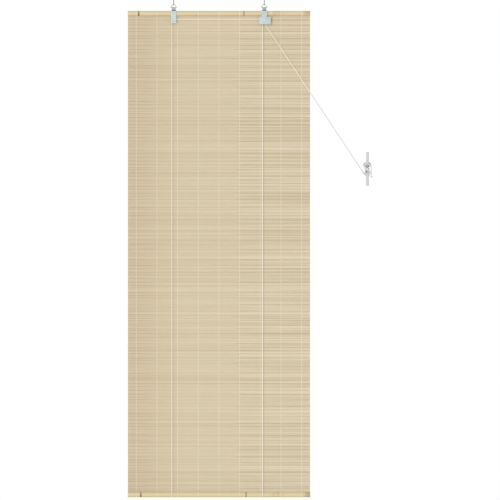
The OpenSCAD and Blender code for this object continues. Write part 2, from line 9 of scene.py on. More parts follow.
import bmesh
import bpy
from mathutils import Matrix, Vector


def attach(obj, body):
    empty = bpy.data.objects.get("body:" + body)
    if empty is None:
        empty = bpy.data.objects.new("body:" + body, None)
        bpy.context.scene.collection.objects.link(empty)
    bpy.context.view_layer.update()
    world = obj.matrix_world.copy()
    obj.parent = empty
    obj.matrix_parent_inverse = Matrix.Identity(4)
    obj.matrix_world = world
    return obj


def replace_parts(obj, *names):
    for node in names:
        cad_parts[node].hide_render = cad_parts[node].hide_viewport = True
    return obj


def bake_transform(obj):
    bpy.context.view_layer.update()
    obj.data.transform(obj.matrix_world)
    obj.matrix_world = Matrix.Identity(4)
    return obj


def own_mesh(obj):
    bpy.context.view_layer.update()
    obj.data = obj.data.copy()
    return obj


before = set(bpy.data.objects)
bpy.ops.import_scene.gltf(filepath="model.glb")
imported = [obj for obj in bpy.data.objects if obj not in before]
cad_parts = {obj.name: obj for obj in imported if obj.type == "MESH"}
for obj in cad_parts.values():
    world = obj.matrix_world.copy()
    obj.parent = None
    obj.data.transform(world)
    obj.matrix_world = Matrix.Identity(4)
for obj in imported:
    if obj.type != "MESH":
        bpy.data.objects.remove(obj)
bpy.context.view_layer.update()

LOG = logging.getLogger("blind")

Colour = tuple[float, float, float]
Point = tuple[float, float, float]
Span = tuple[float, float]

# A millimetre in metres
MM = 0.001

# Sizes in millimetres that several pieces share; MAT_Y and MAT_TOP place the blind's own frame, which
# starts at the middle of the mat's upper edge, with X along the rails and the room at -Y
MAT_Y = 4.0
MAT_TOP = -47.1
MAT_WIDTH = 600.0
MAT_HEIGHT = 1600.0
SLAT_HEIGHT = 17.0
SLAT_CROWN = 6.5
STEM_RADIUS = 16.0
HANG_X = 149.0
LIFT = 1440.0
CLEAT: Point = (488.0, 0.0, -520.0)


class Body(str, Enum):
    """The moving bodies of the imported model."""

    FIXINGS = "fixings"
    BLIND = "blind"
    BOTTOM_RAIL = "bottom_rail"


class Face(int, Enum):
    """The side of the mat that a piece lies on: the room is towards -Y."""

    FRONT = -1
    REAR = 1


def on_blind(x: float, y: float, z: float) -> Vector:
    """Puts a point of the blind's own frame, in millimetres, into the row frame, in metres."""
    return Vector((x, y + MAT_Y, z + MAT_TOP)) * MM


# Node trees


class Val:
    """A node's output socket that takes part in Python arithmetic."""

    def __init__(self, graph: "Graph", socket: bpy.types.NodeSocket) -> None:
        """Keeps the socket and the graph that it belongs to."""
        self.graph = graph
        self.socket = socket

    def __add__(self, other: "Val | float") -> "Val":
        """Adds a value."""
        return self.graph.math("ADD", self, other)

    __radd__ = __add__

    def __sub__(self, other: "Val | float") -> "Val":
        """Takes a value away."""
        return self.graph.math("SUBTRACT", self, other)

    def __rsub__(self, other: "Val | float") -> "Val":
        """Takes this value away from another."""
        return self.graph.math("SUBTRACT", other, self)

    def __mul__(self, other: "Val | float") -> "Val":
        """Multiplies by a value."""
        return self.graph.math("MULTIPLY", self, other)

    __rmul__ = __mul__

    def __truediv__(self, other: "Val | float") -> "Val":
        """Divides by a value."""
        return self.graph.math("DIVIDE", self, other)

    def __rtruediv__(self, other: "Val | float") -> "Val":
        """Divides another value by this one."""
        return self.graph.math("DIVIDE", other, self)

    def __mod__(self, other: "Val | float") -> "Val":
        """Gives the remainder that is never negative."""
        return self.graph.math("FLOORED_MODULO", self, other)

    def __abs__(self) -> "Val":
        """Gives the size without its sign."""
        return self.graph.math("ABSOLUTE", self)

    def floor(self) -> "Val":
        """Rounds down."""
        return self.graph.math("FLOOR", self)

    def sin(self) -> "Val":
        """Gives the sine."""
        return self.graph.math("SINE", self)

    def close_to(self, other: "Val | float", reach: float) -> "Val":
        """Gives 1 where the value is within reach of another, and 0 elsewhere."""
        return self.graph.math("COMPARE", self, other, reach)

    def largest(self, other: "Val | float") -> "Val":
        """Gives the larger of two values."""
        return self.graph.math("MAXIMUM", self, other)

    def rise(self, low: "Val | float", high: "Val | float") -> "Val":
        """Rises smoothly from 0 at low to 1 at high.

        Args:
            low: Value at which the result is 0.
            high: Value at which the result is 1; it may be the smaller one.

        Returns:
            The smooth step.
        """
        node = self.graph.node(
            "ShaderNodeMapRange",
            {"interpolation_type": "SMOOTHSTEP", "clamp": True},
            {"Value": self, "From Min": low, "From Max": high, "To Min": 0.0, "To Max": 1.0},
        )
        return self.graph.out(node)


class Graph:
    """A node tree with one method that creates any node."""

    def __init__(self, tree: bpy.types.NodeTree) -> None:
        """Keeps the tree."""
        self.tree = tree

    @staticmethod
    def pick(sockets: Any, key: "str | int") -> bpy.types.NodeSocket:
        """Finds a socket by its place, its identifier or its name.

        Args:
            sockets: A node's inputs or outputs.
            key: Index, identifier or name.

        Returns:
            The socket.
        """
        if isinstance(key, str):
            for socket in sockets:
                if socket.identifier == key:
                    return socket
        return sockets[key]

    def node(
        self,
        kind: str,
        settings: dict[str, Any] | None = None,
        inputs: dict[Any, Any] | None = None,
    ) -> bpy.types.Node:
        """Creates a node, sets it and feeds its sockets.

        Args:
            kind: The node's type.
            settings: Its properties, which are set first.
            inputs: Values, wrapped sockets or nodes by socket name, identifier or index.

        Returns:
            The new node.
        """
        made = self.tree.nodes.new(kind)
        for name, value in (settings or {}).items():
            setattr(made, name, value)
        for key, value in (inputs or {}).items():
            socket = self.pick(made.inputs, key)
            if isinstance(value, Val):
                self.tree.links.new(value.socket, socket)
            elif isinstance(value, bpy.types.Node):
                self.tree.links.new(value.outputs[0], socket)
            elif socket.type == "RGBA" and len(value) == 3:
                socket.default_value = (*value, 1.0)
            else:
                socket.default_value = value
        return made

    def out(self, node: bpy.types.Node, key: "str | int" = 0) -> Val:
        """Wraps one output of a node."""
        return Val(self, self.pick(node.outputs, key))

    def math(self, operation: str, *values: "Val | float") -> Val:
        """Adds a Math node on its values."""
        node = self.node("ShaderNodeMath", {"operation": operation}, dict(enumerate(values)))
        return self.out(node)

    def vector(self, x: "Val | float", y: "Val | float", z: "Val | float") -> Val:
        """Joins three values to a vector."""
        return self.out(self.node("ShaderNodeCombineXYZ", {}, {0: x, 1: y, 2: z}))

    def split(self, vector: Val) -> tuple[Val, Val, Val]:
        """Takes a vector apart."""
        node = self.node("ShaderNodeSeparateXYZ", {}, {0: vector})
        return self.out(node, 0), self.out(node, 1), self.out(node, 2)

    def mix(self, share: "Val | float", a: "Val | Colour", b: "Val | Colour") -> Val:
        """Mixes two colours.

        Args:
            share: How much of the second colour shows, from 0 to 1.
            a: First colour.
            b: Second colour.

        Returns:
            The mixed colour.
        """
        node = self.node(
            "ShaderNodeMix",
            {"data_type": "RGBA", "clamp_factor": True},
            {"Factor_Float": share, "A_Color": a, "B_Color": b},
        )
        return self.out(node, "Result_Color")

    def noise(self, vector: Val, detail: float = 2.0, rough: float = 0.5) -> Val:
        """Adds a noise of unit scale that varies around one half.

        Args:
            vector: Place, already stretched to the size of the grain.
            detail: Number of finer layers.
            rough: Weight of the finer layers.

        Returns:
            The noise, from 0 to 1.
        """
        node = self.node(
            "ShaderNodeTexNoise",
            {"noise_dimensions": "3D", "normalize": True},
            {"Vector": vector, "Scale": 1.0, "Detail": detail, "Roughness": rough},
        )
        return self.out(node, 0)

    def grain(
        self, spot: "Sequence[Val | float]", waves: Point, detail: float = 2.0, rough: float = 0.5
    ) -> Val:
        """Adds a noise with its own number of waves to each unit of the three values in spot."""
        stretched = self.vector(*(part * number for part, number in zip(spot, waves)))
        return self.noise(stretched, detail, rough)


class Rule(Graph):
    """A Geometry Nodes tree with named sizes that makes a repeated piece."""

    KINDS = {int: "NodeSocketInt", float: "NodeSocketFloat", bpy.types.Material: "NodeSocketMaterial"}

    def __init__(self, name: str, sizes: dict[str, Any]) -> None:
        """Makes the empty tree.

        Args:
            name: Name of the tree.
            sizes: The tree's named inputs with their values.
        """
        tree = bpy.data.node_groups.new(name, "GeometryNodeTree")
        super().__init__(tree)
        face = tree.interface
        face.new_socket("Geometry", in_out="OUTPUT", socket_type="NodeSocketGeometry")
        face.new_socket("Geometry", in_out="INPUT", socket_type="NodeSocketGeometry")
        self.values: dict[str, Any] = {}
        for label, value in sizes.items():
            socket = face.new_socket(label, in_out="INPUT", socket_type=self.KINDS[type(value)])
            self.values[socket.identifier] = value
        self.entry = self.node("NodeGroupInput")

    def size(self, label: str) -> Val:
        """Gives one of the tree's named inputs."""
        return self.out(self.entry, label)

    def index(self) -> Val:
        """Gives the number of each element."""
        return self.out(self.node("GeometryNodeInputIndex"))

    def chance(self, low: float, high: float, offset: int, key: Val | None = None) -> Val:
        """Adds a seeded random value.

        Args:
            low: Least value.
            high: Largest value.
            offset: Sets this value apart from the others of the same seed.
            key: Number that elements with the same value share.

        Returns:
            The random value.
        """
        inputs: dict[Any, Any] = {"Min_001": low, "Max_001": high, "Seed": self.size("Seed") + offset}
        if key is not None:
            inputs["ID"] = key
        node = self.node("FunctionNodeRandomValue", {"data_type": "FLOAT"}, inputs)
        return self.out(node, "Value_001")

    def keep(self, geometry: Any, label: str, value: Val) -> Val:
        """Stores a value on each instance under a name that the finish reads.

        Args:
            geometry: What the value is stored on.
            label: Name of the attribute.
            value: The value.

        Returns:
            The geometry with its attribute.
        """
        node = self.node(
            "GeometryNodeStoreNamedAttribute",
            {"data_type": "FLOAT", "domain": "INSTANCE"},
            {"Geometry": geometry, "Name": label, "Value": value},
        )
        return self.out(node)

    def kept(self, label: str) -> Val:
        """Reads a stored value."""
        node = self.node("GeometryNodeInputNamedAttribute", {"data_type": "FLOAT"}, {"Name": label})
        return self.out(node)

    def rod(self, spine: Any, sides: int, radius: "Val | float") -> bpy.types.Node:
        """Sweeps a closed round section along a curve.

        Args:
            spine: The curve.
            sides: Number of corners of the section.
            radius: Its radius.

        Returns:
            The node with the rod's mesh.
        """
        ring = self.node(
            "GeometryNodeCurvePrimitiveCircle", {"mode": "RADIUS"}, {"Resolution": sides, "Radius": radius}
        )
        return self.node(
            "GeometryNodeCurveToMesh", {}, {"Curve": spine, "Profile Curve": ring, "Fill Caps": True}
        )

    def dots(self, count: Val, place: Val) -> bpy.types.Node:
        """Sets out a number of points, each at its place."""
        line = self.node("GeometryNodeMeshLine", {"mode": "OFFSET"}, {"Count": count})
        return self.node("GeometryNodeSetPosition", {}, {"Geometry": line, "Position": place})

    def grow(self, name: str, geometry: Any, start: bpy.types.Mesh | None = None) -> bpy.types.Object:
        """Ends the tree and turns its result into a plain, smooth mesh.

        Args:
            name: Name of the piece.
            geometry: Last geometry of the tree.
            start: Mesh that enters the tree.

        Returns:
            The piece, with no modifier left on it.
        """
        real = self.node("GeometryNodeRealizeInstances", {}, {"Geometry": geometry})
        smooth = self.node("GeometryNodeSetShadeSmooth", {}, {"Geometry": real, "Shade Smooth": True})
        painted = self.node(
            "GeometryNodeSetMaterial", {}, {"Geometry": smooth, "Material": self.size("Finish")}
        )
        self.node("NodeGroupOutput", {}, {"Geometry": painted})
        obj = put(name, start or bpy.data.meshes.new(name))
        modifier = obj.modifiers.new("rule", "NODES")
        modifier.node_group = self.tree
        for identifier, value in self.values.items():
            modifier[identifier] = value
        graph = bpy.context.evaluated_depsgraph_get()
        mesh = bpy.data.meshes.new_from_object(
            obj.evaluated_get(graph), preserve_all_data_layers=True, depsgraph=graph
        )
        obj.modifiers.clear()
        obj.data = mesh
        mesh.name = name
        return obj


# Finishes


@dataclass(frozen=True)
class Finish:
    """A procedural finish on one Principled shader.

    In the finishes below, three numbers that aren't a colour are the waves of a pattern along what it reads,
    a span is where a change starts and ends, in metres, and the depth is that of the relief, in metres.
    """

    name: str

    def paint(self, g: Graph) -> dict[str, Any]:
        """Builds the pattern and gives the shader's inputs; each finish has its own."""
        raise NotImplementedError

    def make(self) -> bpy.types.Material:
        """Makes the material.

        Returns:
            The new material.
        """
        material = bpy.data.materials.new(self.name)
        material.use_nodes = True
        tree = material.node_tree
        tree.nodes.clear()
        g = Graph(tree)
        shader = g.node("ShaderNodeBsdfPrincipled", {}, self.paint(g))
        g.node("ShaderNodeOutputMaterial", {}, {"Surface": shader})
        return material

    @staticmethod
    def place(g: Graph) -> tuple[Val, Val, Val]:
        """Gives the piece's own coordinates in metres."""
        return g.split(g.out(g.node("ShaderNodeTexCoord"), "Object"))

    @staticmethod
    def mark(g: Graph, label: str) -> Val:
        """Reads a value that is stored on the mesh."""
        return g.out(g.node("ShaderNodeAttribute", {"attribute_name": label}), "Fac")

    @staticmethod
    def relief(g: Graph, height: Val, depth: float, strength: float) -> Val:
        """Turns a height into a normal.

        Args:
            g: The graph.
            height: Height from 0 to 1.
            depth: Distance that a height of 1 stands for, in metres.
            strength: Share of the effect.

        Returns:
            The normal.
        """
        node = g.node(
            "ShaderNodeBump", {}, {"Strength": strength, "Distance": depth, "Height": height}
        )
        return g.out(node)


@dataclass(frozen=True)
class ReedFinish(Finish):
    """Dry bamboo reeds: each has its own tone, and some, sunk deeper, have a dark line of painted shade for
    the gap beside them.
    """

    pale: Colour = (0.785, 0.696, 0.517)
    warm: Colour = (0.640, 0.540, 0.372)
    dark: Colour = (0.240, 0.165, 0.040)
    band: Colour = (0.475, 0.395, 0.225)
    bleached: Colour = (0.870, 0.790, 0.640)
    shaded: Colour = (0.600, 0.485, 0.300)
    fibres: Point = (30.0, 2600.0, 2600.0)
    patches: Point = (9.0, 61.0, 3.0)
    edges: Point = (83.0, 4.0, 1.0)
    edge_reach: float = 0.10
    bands: Point = (1.5, 2.0, 125.0)
    depth: float = 0.00018
    shaded_side: Span = (-0.090, -0.310)
    right_bands: Span = (0.060, 0.070)
    left_bands: Span = (-0.200, -0.255)

    def paint(self, g: Graph) -> dict[str, Any]:
        """Builds the tone of each reed, its fibres, the broad bands and the dark lines of painted shade.

        Args:
            g: The finish's node graph.

        Returns:
            The shader's inputs.
        """
        spot = self.place(g)
        x, _, z = spot
        tone = self.mark(g, "tone")
        line = self.mark(g, "line")
        fibre = g.grain(spot, self.fibres, 3.0, 0.6)
        patch = g.grain((x, tone, z), self.patches)
        body = g.mix(tone * 0.62 + patch * 0.38, self.warm, self.pale)
        body = g.mix((fibre - 0.42) * 1.1, body, self.warm)
        body = g.mix(x.rise(*self.shaded_side) * 0.42, body, self.shaded)
        wander = (g.grain((tone, 1.0, 1.0), self.edges, 0.0) - 0.5) * self.edge_reach
        right = (x + wander.largest(0.0)).rise(*self.right_bands)
        left = (x + wander).rise(*self.left_bands)
        drift = g.grain((x, 1.0, z), self.bands, 1.0)
        broad = right * 0.17 + left * 0.04 + 0.03
        body = g.mix(drift.rise(0.52, 0.32) * broad, body, self.band)
        body = g.mix(drift.rise(0.42, 0.62) * (broad + right * 0.05), body, self.bleached)
        # Painted shade: the dark line stands in for the shadow in the gaps between reeds.
        share = line * (0.130 + right * 0.140 + left * 0.15) * (0.6 + patch * 0.8)
        return {
            "Base Color": g.mix(share, body, self.dark),
            "Roughness": 0.50 + fibre * 0.22,
            "Specular IOR Level": 0.35,
            "Normal": self.relief(g, fibre, self.depth, 0.5),
        }


@dataclass(frozen=True)
class ThreadFinish(Finish):
    """Twisted cotton thread."""

    pale: Colour = (0.930, 0.885, 0.770)
    shade: Colour = (0.800, 0.735, 0.590)
    fibres: Point = (5200.0, 5200.0, 5200.0)
    lay: float = 0.00062
    depth: float = 0.00006

    def paint(self, g: Graph) -> dict[str, Any]:
        """Builds the twist of the yarn and its loose fibres.

        Args:
            g: The finish's node graph.

        Returns:
            The shader's inputs.
        """
        spot = self.place(g)
        x, y, z = spot
        fuzz = g.grain(spot, self.fibres)
        ply = ((z * 0.7 + x + y) * (2.0 * math.pi / self.lay)).sin() * 0.5 + 0.5
        height = ply * 0.7 + fuzz * 0.3
        return {
            # Painted shade: the grooves of the twist take the darker shade colour.
            "Base Color": g.mix(height, self.shade, self.pale),
            "Roughness": 0.80 + fuzz * 0.15,
            "Specular IOR Level": 0.2,
            "Normal": self.relief(g, height, self.depth, 0.6),
        }


@dataclass(frozen=True)
class BambooFinish(Finish):
    """Split bamboo with its rind outside: fibres, dark rings at the nodes, scuffs."""

    rind: Colour = (0.745, 0.625, 0.350)
    straw: Colour = (0.655, 0.525, 0.265)
    brown: Colour = (0.200, 0.115, 0.050)
    upper_shade: Colour = (0.560, 0.470, 0.300)
    upper_edge: Colour = (0.610, 0.540, 0.420)
    lower_shade: Colour = (0.490, 0.385, 0.205)
    speckled: Colour = (0.400, 0.260, 0.120)
    burnt: Colour = (0.330, 0.215, 0.105)
    stained: Colour = (0.420, 0.270, 0.120)
    fibres: Point = (22.0, 900.0, 1500.0)
    clouds: Point = (14.0, 60.0, 60.0)
    specks: Point = (160.0, 420.0, 420.0)
    depth: float = 0.00016
    burnt_end: Span = (0.272, 0.292)
    stain_start: Span = (0.170, 0.182)
    stain_stop: Span = (0.225, 0.190)
    blotted: Span = (-0.200, -0.240)

    def paint(self, g: Graph) -> dict[str, Any]:
        """Builds fibres along the slat, node rings, worn edges and stains.

        Args:
            g: The finish's node graph.

        Returns:
            The shader's inputs.
        """
        spot = self.place(g)
        x = spot[0]
        knot = self.mark(g, "knot")
        rim = self.mark(g, "rim")
        fibre = g.grain(spot, self.fibres, 4.0, 0.6)
        cloud = g.grain(spot, self.clouds)
        speck = g.grain(spot, self.specks, 2.0, 0.6)
        end = x.rise(*self.burnt_end) * cloud.rise(0.25, 0.6)
        stain = x.rise(*self.stain_start) * x.rise(*self.stain_stop) * speck.rise(0.45, 0.6)
        body = g.mix(fibre * 0.75 + cloud * 0.35 - 0.05, self.straw, self.rind)
        # Painted shade: the upper and lower sides of the rounded rind are darkened as if turned from the
        # light.
        for share, colour in (
            (rim.rise(0.05, 0.55) * 0.46, self.upper_shade),
            (rim.rise(0.55, 0.95) * 0.50, self.upper_edge),
            (rim.rise(-0.15, -0.95) * 0.62, self.lower_shade),
            (speck.rise(0.66, 0.78) * 0.45, self.speckled),
            (end * 0.55, self.burnt),
            (stain * 0.45, self.stained),
        ):
            body = g.mix(share, body, colour)
        blot = x.rise(*self.blotted) * rim.rise(0.4, -0.2)
        ring = knot * (0.65 + cloud * 0.7 + blot * 2.0)
        return {
            "Base Color": g.mix(ring, body, self.brown),
            "Roughness": 0.30 + fibre * 0.22 + knot * 0.2,
            "Specular IOR Level": 0.5,
            "Normal": self.relief(g, fibre + speck * 0.4, self.depth, 0.5),
        }


@dataclass(frozen=True)
class MetalFinish(Finish):
    """Plated steel: fine rolling marks, a cloudy tone and small scuffs."""

    tone: Colour
    dull: Colour
    gloss: float
    marks: Point = (900.0, 5200.0, 5200.0)
    clouds: Point = (260.0, 260.0, 260.0)
    scuffs: Point = (1300.0, 700.0, 500.0)
    depth: float = 0.00005

    def paint(self, g: Graph) -> dict[str, Any]:
        """Builds the rolling marks and the cloudy plating.

        Args:
            g: The finish's node graph.

        Returns:
            The shader's inputs.
        """
        spot = self.place(g)
        cloud = g.grain(spot, self.clouds, 3.0, 0.6)
        roll = g.grain(spot, self.marks)
        scuff = g.grain(spot, self.scuffs, 1.0).rise(0.63, 0.72)
        body = g.mix(cloud.rise(0.3, 0.7) * 0.40 + roll * 0.3, self.tone, self.dull)
        body = self.fold_shade(g, g.mix(scuff * 0.35, body, self.dull), spot[2], cloud)
        return {
            "Base Color": body,
            "Metallic": 0.85,
            "Roughness": self.gloss + cloud * 0.16 + scuff * 0.12,
            "Normal": self.relief(g, roll + scuff * 0.4, self.depth, 0.5),
        }

    def fold_shade(self, g: Graph, body: Val, z: Val, cloud: Val) -> Val:
        """Adds no painted shade; a finish with painted shade in its folds overrides it."""
        return body


@dataclass(frozen=True)
class StrapFinish(MetalFinish):
    """Plated sheet, with painted shade in the fold over the rail and on the leaves around the ring."""

    fold: Span = (-0.0475, -0.0430)
    ragged: float = 0.0005
    soft: float = 0.0004
    leaf_shade: Colour = (0.150, 0.165, 0.175)
    fold_shadow: Colour = (0.018, 0.021, 0.024)

    def fold_shade(self, g: Graph, body: Val, z: Val, cloud: Val) -> Val:
        """Paints shade into the fold and onto the leaves above it.

        Args:
            g: The graph.
            body: Colour of the clean plating.
            z: Height in the row frame.
            cloud: Cloudy noise that breaks up the edges.

        Returns:
            The colour with its painted shade.
        """
        low, high = self.fold
        height = z + (cloud - 0.5) * self.ragged
        leaves = height.rise(low, low + self.soft)
        fold = leaves * height.rise(high + self.soft, high - self.soft)
        # Painted shade: a grey on the leaves above the fold, and near black in the fold itself.
        body = g.mix(leaves * 0.12, body, self.leaf_shade)
        return g.mix(fold * 0.96, body, self.fold_shadow)


@dataclass(frozen=True)
class MouldingFinish(Finish):
    """Moulded plastic with a faint flow pattern and a fine matt grain."""

    tone: Colour = (0.735, 0.730, 0.690)
    shade: Colour = (0.610, 0.600, 0.555)
    flows: Point = (90.0, 150.0, 60.0)
    grains: Point = (4200.0, 4200.0, 4200.0)
    depth: float = 0.00004

    def paint(self, g: Graph) -> dict[str, Any]:
        """Builds the flow pattern and the grain.

        Args:
            g: The finish's node graph.

        Returns:
            The shader's inputs.
        """
        spot = self.place(g)
        flow = g.grain(spot, self.flows)
        grain = g.grain(spot, self.grains)
        return {
            "Base Color": g.mix(flow.rise(0.35, 0.8) * 0.5 + grain * 0.2, self.tone, self.shade),
            "Roughness": 0.36 + grain * 0.18,
            "Specular IOR Level": 0.45,
            "Normal": self.relief(g, grain, self.depth, 0.6),
        }


@dataclass(frozen=True)
class CordFinish(Finish):
    """Braided cord: crossing strands along its run, greyer past the mat's edge along X.

    The greying starts at a place along X, and the whiter crossing at the cleat is given by its distance from
    the cleat.
    """

    pale: Colour = (0.975, 0.920, 0.785)
    shade: Colour = (0.905, 0.835, 0.690)
    grey_off_mat: Colour = (0.640, 0.640, 0.670)
    crossing_white: Colour = (0.930, 0.930, 0.925)
    soiled: Colour = (0.720, 0.650, 0.520)
    lay: float = 0.0042
    strands: int = 4
    fibres: Point = (3800.0, 26.0, 0.0)
    soil: Point = (22.0, 2.0, 3.0)
    depth: float = 0.00007
    # Span along X past the mat's edge where the cord turns greyer.
    pulled: Span = (0.294, 0.308)
    crossing: Span = (0.0065, 0.0035)

    def paint(self, g: Graph) -> dict[str, Any]:
        """Builds the braid from the length and the turn of the cord.

        Args:
            g: The finish's node graph.

        Returns:
            The shader's inputs.
        """
        x = self.place(g)[0]
        run, turn, _ = g.split(g.out(g.node("ShaderNodeUVMap", {"uv_map": "run"})))
        along = run * (2.0 * math.pi / self.lay)
        around = turn * (2.0 * math.pi * self.strands)
        braid = abs((along + around).sin()) * 0.5 + abs((along - around).sin()) * 0.5
        fuzz = g.grain((run, turn, 1.0), self.fibres)
        soil = g.grain((run, turn, 1.0), self.soil)
        height = braid * 0.8 + fuzz * 0.2
        crossing = abs(x - CLEAT[0] * MM).rise(*self.crossing)
        # Painted shade: the braid's valleys take the darker shade colour.
        body = g.mix(height.rise(0.1, 0.75), self.shade, self.pale)
        body = g.mix(soil.rise(0.5, 0.85) * 0.1, body, self.soiled)
        # Greyer past the mat's edge along X, and whiter again where the hitch crosses the cleat's middle.
        body = g.mix(x.rise(*self.pulled) * 0.9, body, self.grey_off_mat)
        body = g.mix(crossing * 0.9, body, self.crossing_white)
        return {
            "Base Color": body,
            "Roughness": 0.72 + fuzz * 0.2,
            "Specular IOR Level": 0.25,
            "Normal": self.relief(g, height, self.depth, 0.6),
        }


@dataclass(frozen=True)
class CleatFinish(Finish):
    """Cast cleat under a satin coat, with painted shadow in its middle under the hitch."""

    tone: Colour = (0.475, 0.475, 0.475)
    shade: Colour = (0.385, 0.385, 0.385)
    hitch_shadow: Colour = (0.150, 0.150, 0.150)
    casts: Point = (900.0, 900.0, 900.0)
    patches: Point = (150.0, 150.0, 90.0)
    depth: float = 0.00006
    hitch: Span = (0.015, 0.009)

    def paint(self, g: Graph) -> dict[str, Any]:
        """Builds the cast texture, the worn patches and the painted shadow in the middle under the hitch.

        Args:
            g: The finish's node graph.

        Returns:
            The shader's inputs.
        """
        spot = self.place(g)
        cast = g.grain(spot, self.casts, 3.0, 0.6)
        wear = g.grain(spot, self.patches).rise(0.45, 0.75)
        body = g.mix(cast * 0.4 + wear * 0.35, self.tone, self.shade)
        # Painted shadow: the middle of the cleat under the hitch is darkened.
        shadow_share = abs(spot[2] - on_blind(*CLEAT).z).rise(*self.hitch)
        return {
            "Base Color": g.mix(shadow_share * 0.8, body, self.hitch_shadow),
            "Metallic": 0.35,
            "Roughness": 0.34 + cast * 0.18,
            "Normal": self.relief(g, cast, self.depth, 0.6),
        }


@dataclass(frozen=True)
class FloorFinish(Finish):
    """Plain pale studio floor."""

    tone: Colour = (0.86, 0.86, 0.85)
    light: Colour = (0.88, 0.88, 0.87)
    mottles: Point = (6.0, 6.0, 6.0)

    def paint(self, g: Graph) -> dict[str, Any]:
        """Builds a faint mottle."""
        mottle = g.grain(self.place(g), self.mottles)
        return {"Base Color": g.mix(mottle, self.tone, self.light), "Roughness": 0.9}


class Finishes:
    """All finishes of the blind, made once."""

    def __init__(self) -> None:
        """Makes the materials."""
        self.reed = ReedFinish("reed").make()
        self.thread = ThreadFinish("thread").make()
        self.bamboo = BambooFinish("bamboo").make()
        self.plate = StrapFinish(
            "plated_steel", tone=(0.415, 0.465, 0.455), dull=(0.340, 0.388, 0.378), gloss=0.48
        ).make()
        self.wire = MetalFinish(
            "steel_wire", tone=(0.375, 0.380, 0.385), dull=(0.250, 0.255, 0.260), gloss=0.26,
            marks=(5200.0, 5200.0, 700.0),
        ).make()
        self.moulding = MouldingFinish("moulding").make()
        self.cord = CordFinish("cord").make()
        self.cleat = CleatFinish("cleat").make()


# Meshes


def seat(
    obj: bpy.types.Object, finish: bpy.types.Material | None, body: Body | None
) -> bpy.types.Object:
    """Gives a piece its finish and the body that it rides on.

    Args:
        obj: The finished piece.
        finish: Its material, or None where the mesh already has it.
        body: The body, or None for a piece that runs between two and rides on neither.

    Returns:
        The piece.
    """
    if finish is not None:
        obj.data.materials.clear()
        obj.data.materials.append(finish)
    if body is not None:
        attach(obj, body.value)
    LOG.info("%s: %d faces", obj.name, len(obj.data.polygons))
    return obj


def put(name: str, data: bpy.types.ID) -> bpy.types.Object:
    """Puts a new object into the scene, at the origin.

    Args:
        name: Name of the object.
        data: Its mesh, camera or lamp.

    Returns:
        The object.
    """
    obj = bpy.data.objects.new(name, data)
    bpy.context.collection.objects.link(obj)
    return obj


def from_bmesh(name: str, bm: bmesh.types.BMesh, sharp: float = 40.0) -> bpy.types.Object:
    """Makes an object of a mesh, smooth but for its sharp edges.

    Args:
        name: Name of the piece.
        bm: The mesh, which is freed.
        sharp: Angle in degrees above which an edge stays sharp.

    Returns:
        The piece at the origin.
    """
    limit = math.radians(sharp)
    for face in bm.faces:
        face.smooth = True
    for edge in bm.edges:
        edge.smooth = len(edge.link_faces) == 2 and edge.calc_face_angle(0.0) < limit
    mesh = bpy.data.meshes.new(name)
    bm.to_mesh(mesh)
    bm.free()
    return put(name, mesh)


def softened(name: str, node: str, width: float) -> bpy.types.Object:
    """Copies a CAD node and rounds its sharp edges.

    Args:
        name: Name of the piece.
        node: Name of the CAD node.
        width: Width of the rounding, in metres.

    Returns:
        The rounded copy.
    """
    merged = 2e-6
    flat = math.radians(1.0)
    sharp = math.radians(42.0)
    bm = bmesh.new()
    bm.from_mesh(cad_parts[node].data)
    bmesh.ops.remove_doubles(bm, verts=bm.verts, dist=merged)
    bmesh.ops.dissolve_limit(bm, angle_limit=flat, verts=bm.verts, edges=bm.edges)
    edges = [e for e in bm.edges if len(e.link_faces) == 2 and e.calc_face_angle(0.0) > sharp]
    bmesh.ops.bevel(
        bm, geom=edges, offset=width, segments=3, profile=0.6, affect="EDGES", clamp_overlap=True
    )
    return from_bmesh(name, bm)


def arc(middle: Sequence[float], r: float, start: float, stop: float, steps: int) -> list[Span]:
    """Gives the points of a flat arc between two angles in degrees, both ends among them."""
    angles = [math.radians(start + (stop - start) * i / steps) for i in range(steps + 1)]
    return [(middle[0] + r * math.cos(a), middle[1] + r * math.sin(a)) for a in angles]


def stretch(a: Vector, b: Vector, steps: int) -> list[Vector]:
    """Gives the points of a straight stretch, both ends among them."""
    return [a.lerp(b, i / steps) for i in range(steps + 1)]


def eased(points: Sequence[Vector], steps: int) -> list[Vector]:
    """Rounds a route with a centripetal spline through all its points.

    Args:
        points: The route.
        steps: Number of steps from one point to the next.

    Returns:
        The points of the rounded route.
    """
    ends = [points[0] * 2 - points[1], *points, points[-1] * 2 - points[-2]]
    route: list[Vector] = []
    for p0, p1, p2, p3 in zip(ends, ends[1:], ends[2:], ends[3:]):
        t1 = (p1 - p0).length ** 0.5
        t2 = t1 + (p2 - p1).length ** 0.5
        t3 = t2 + (p3 - p2).length ** 0.5
        for i in range(steps):
            t = t1 + (t2 - t1) * i / steps
            a1 = p0.lerp(p1, t / t1)
            a2 = p1.lerp(p2, (t - t1) / (t2 - t1))
            a3 = p2.lerp(p3, (t - t2) / (t3 - t2))
            b1 = a1.lerp(a2, t / t2)
            b2 = a2.lerp(a3, (t - t1) / (t3 - t1))
            route.append(b1.lerp(b2, (t - t1) / (t2 - t1)))
    return [*route, points[-1].copy()]


def length_of(route: Sequence[Vector]) -> float:
    """Measures a route."""
    return sum((b - a).length for a, b in zip(route, route[1:]))


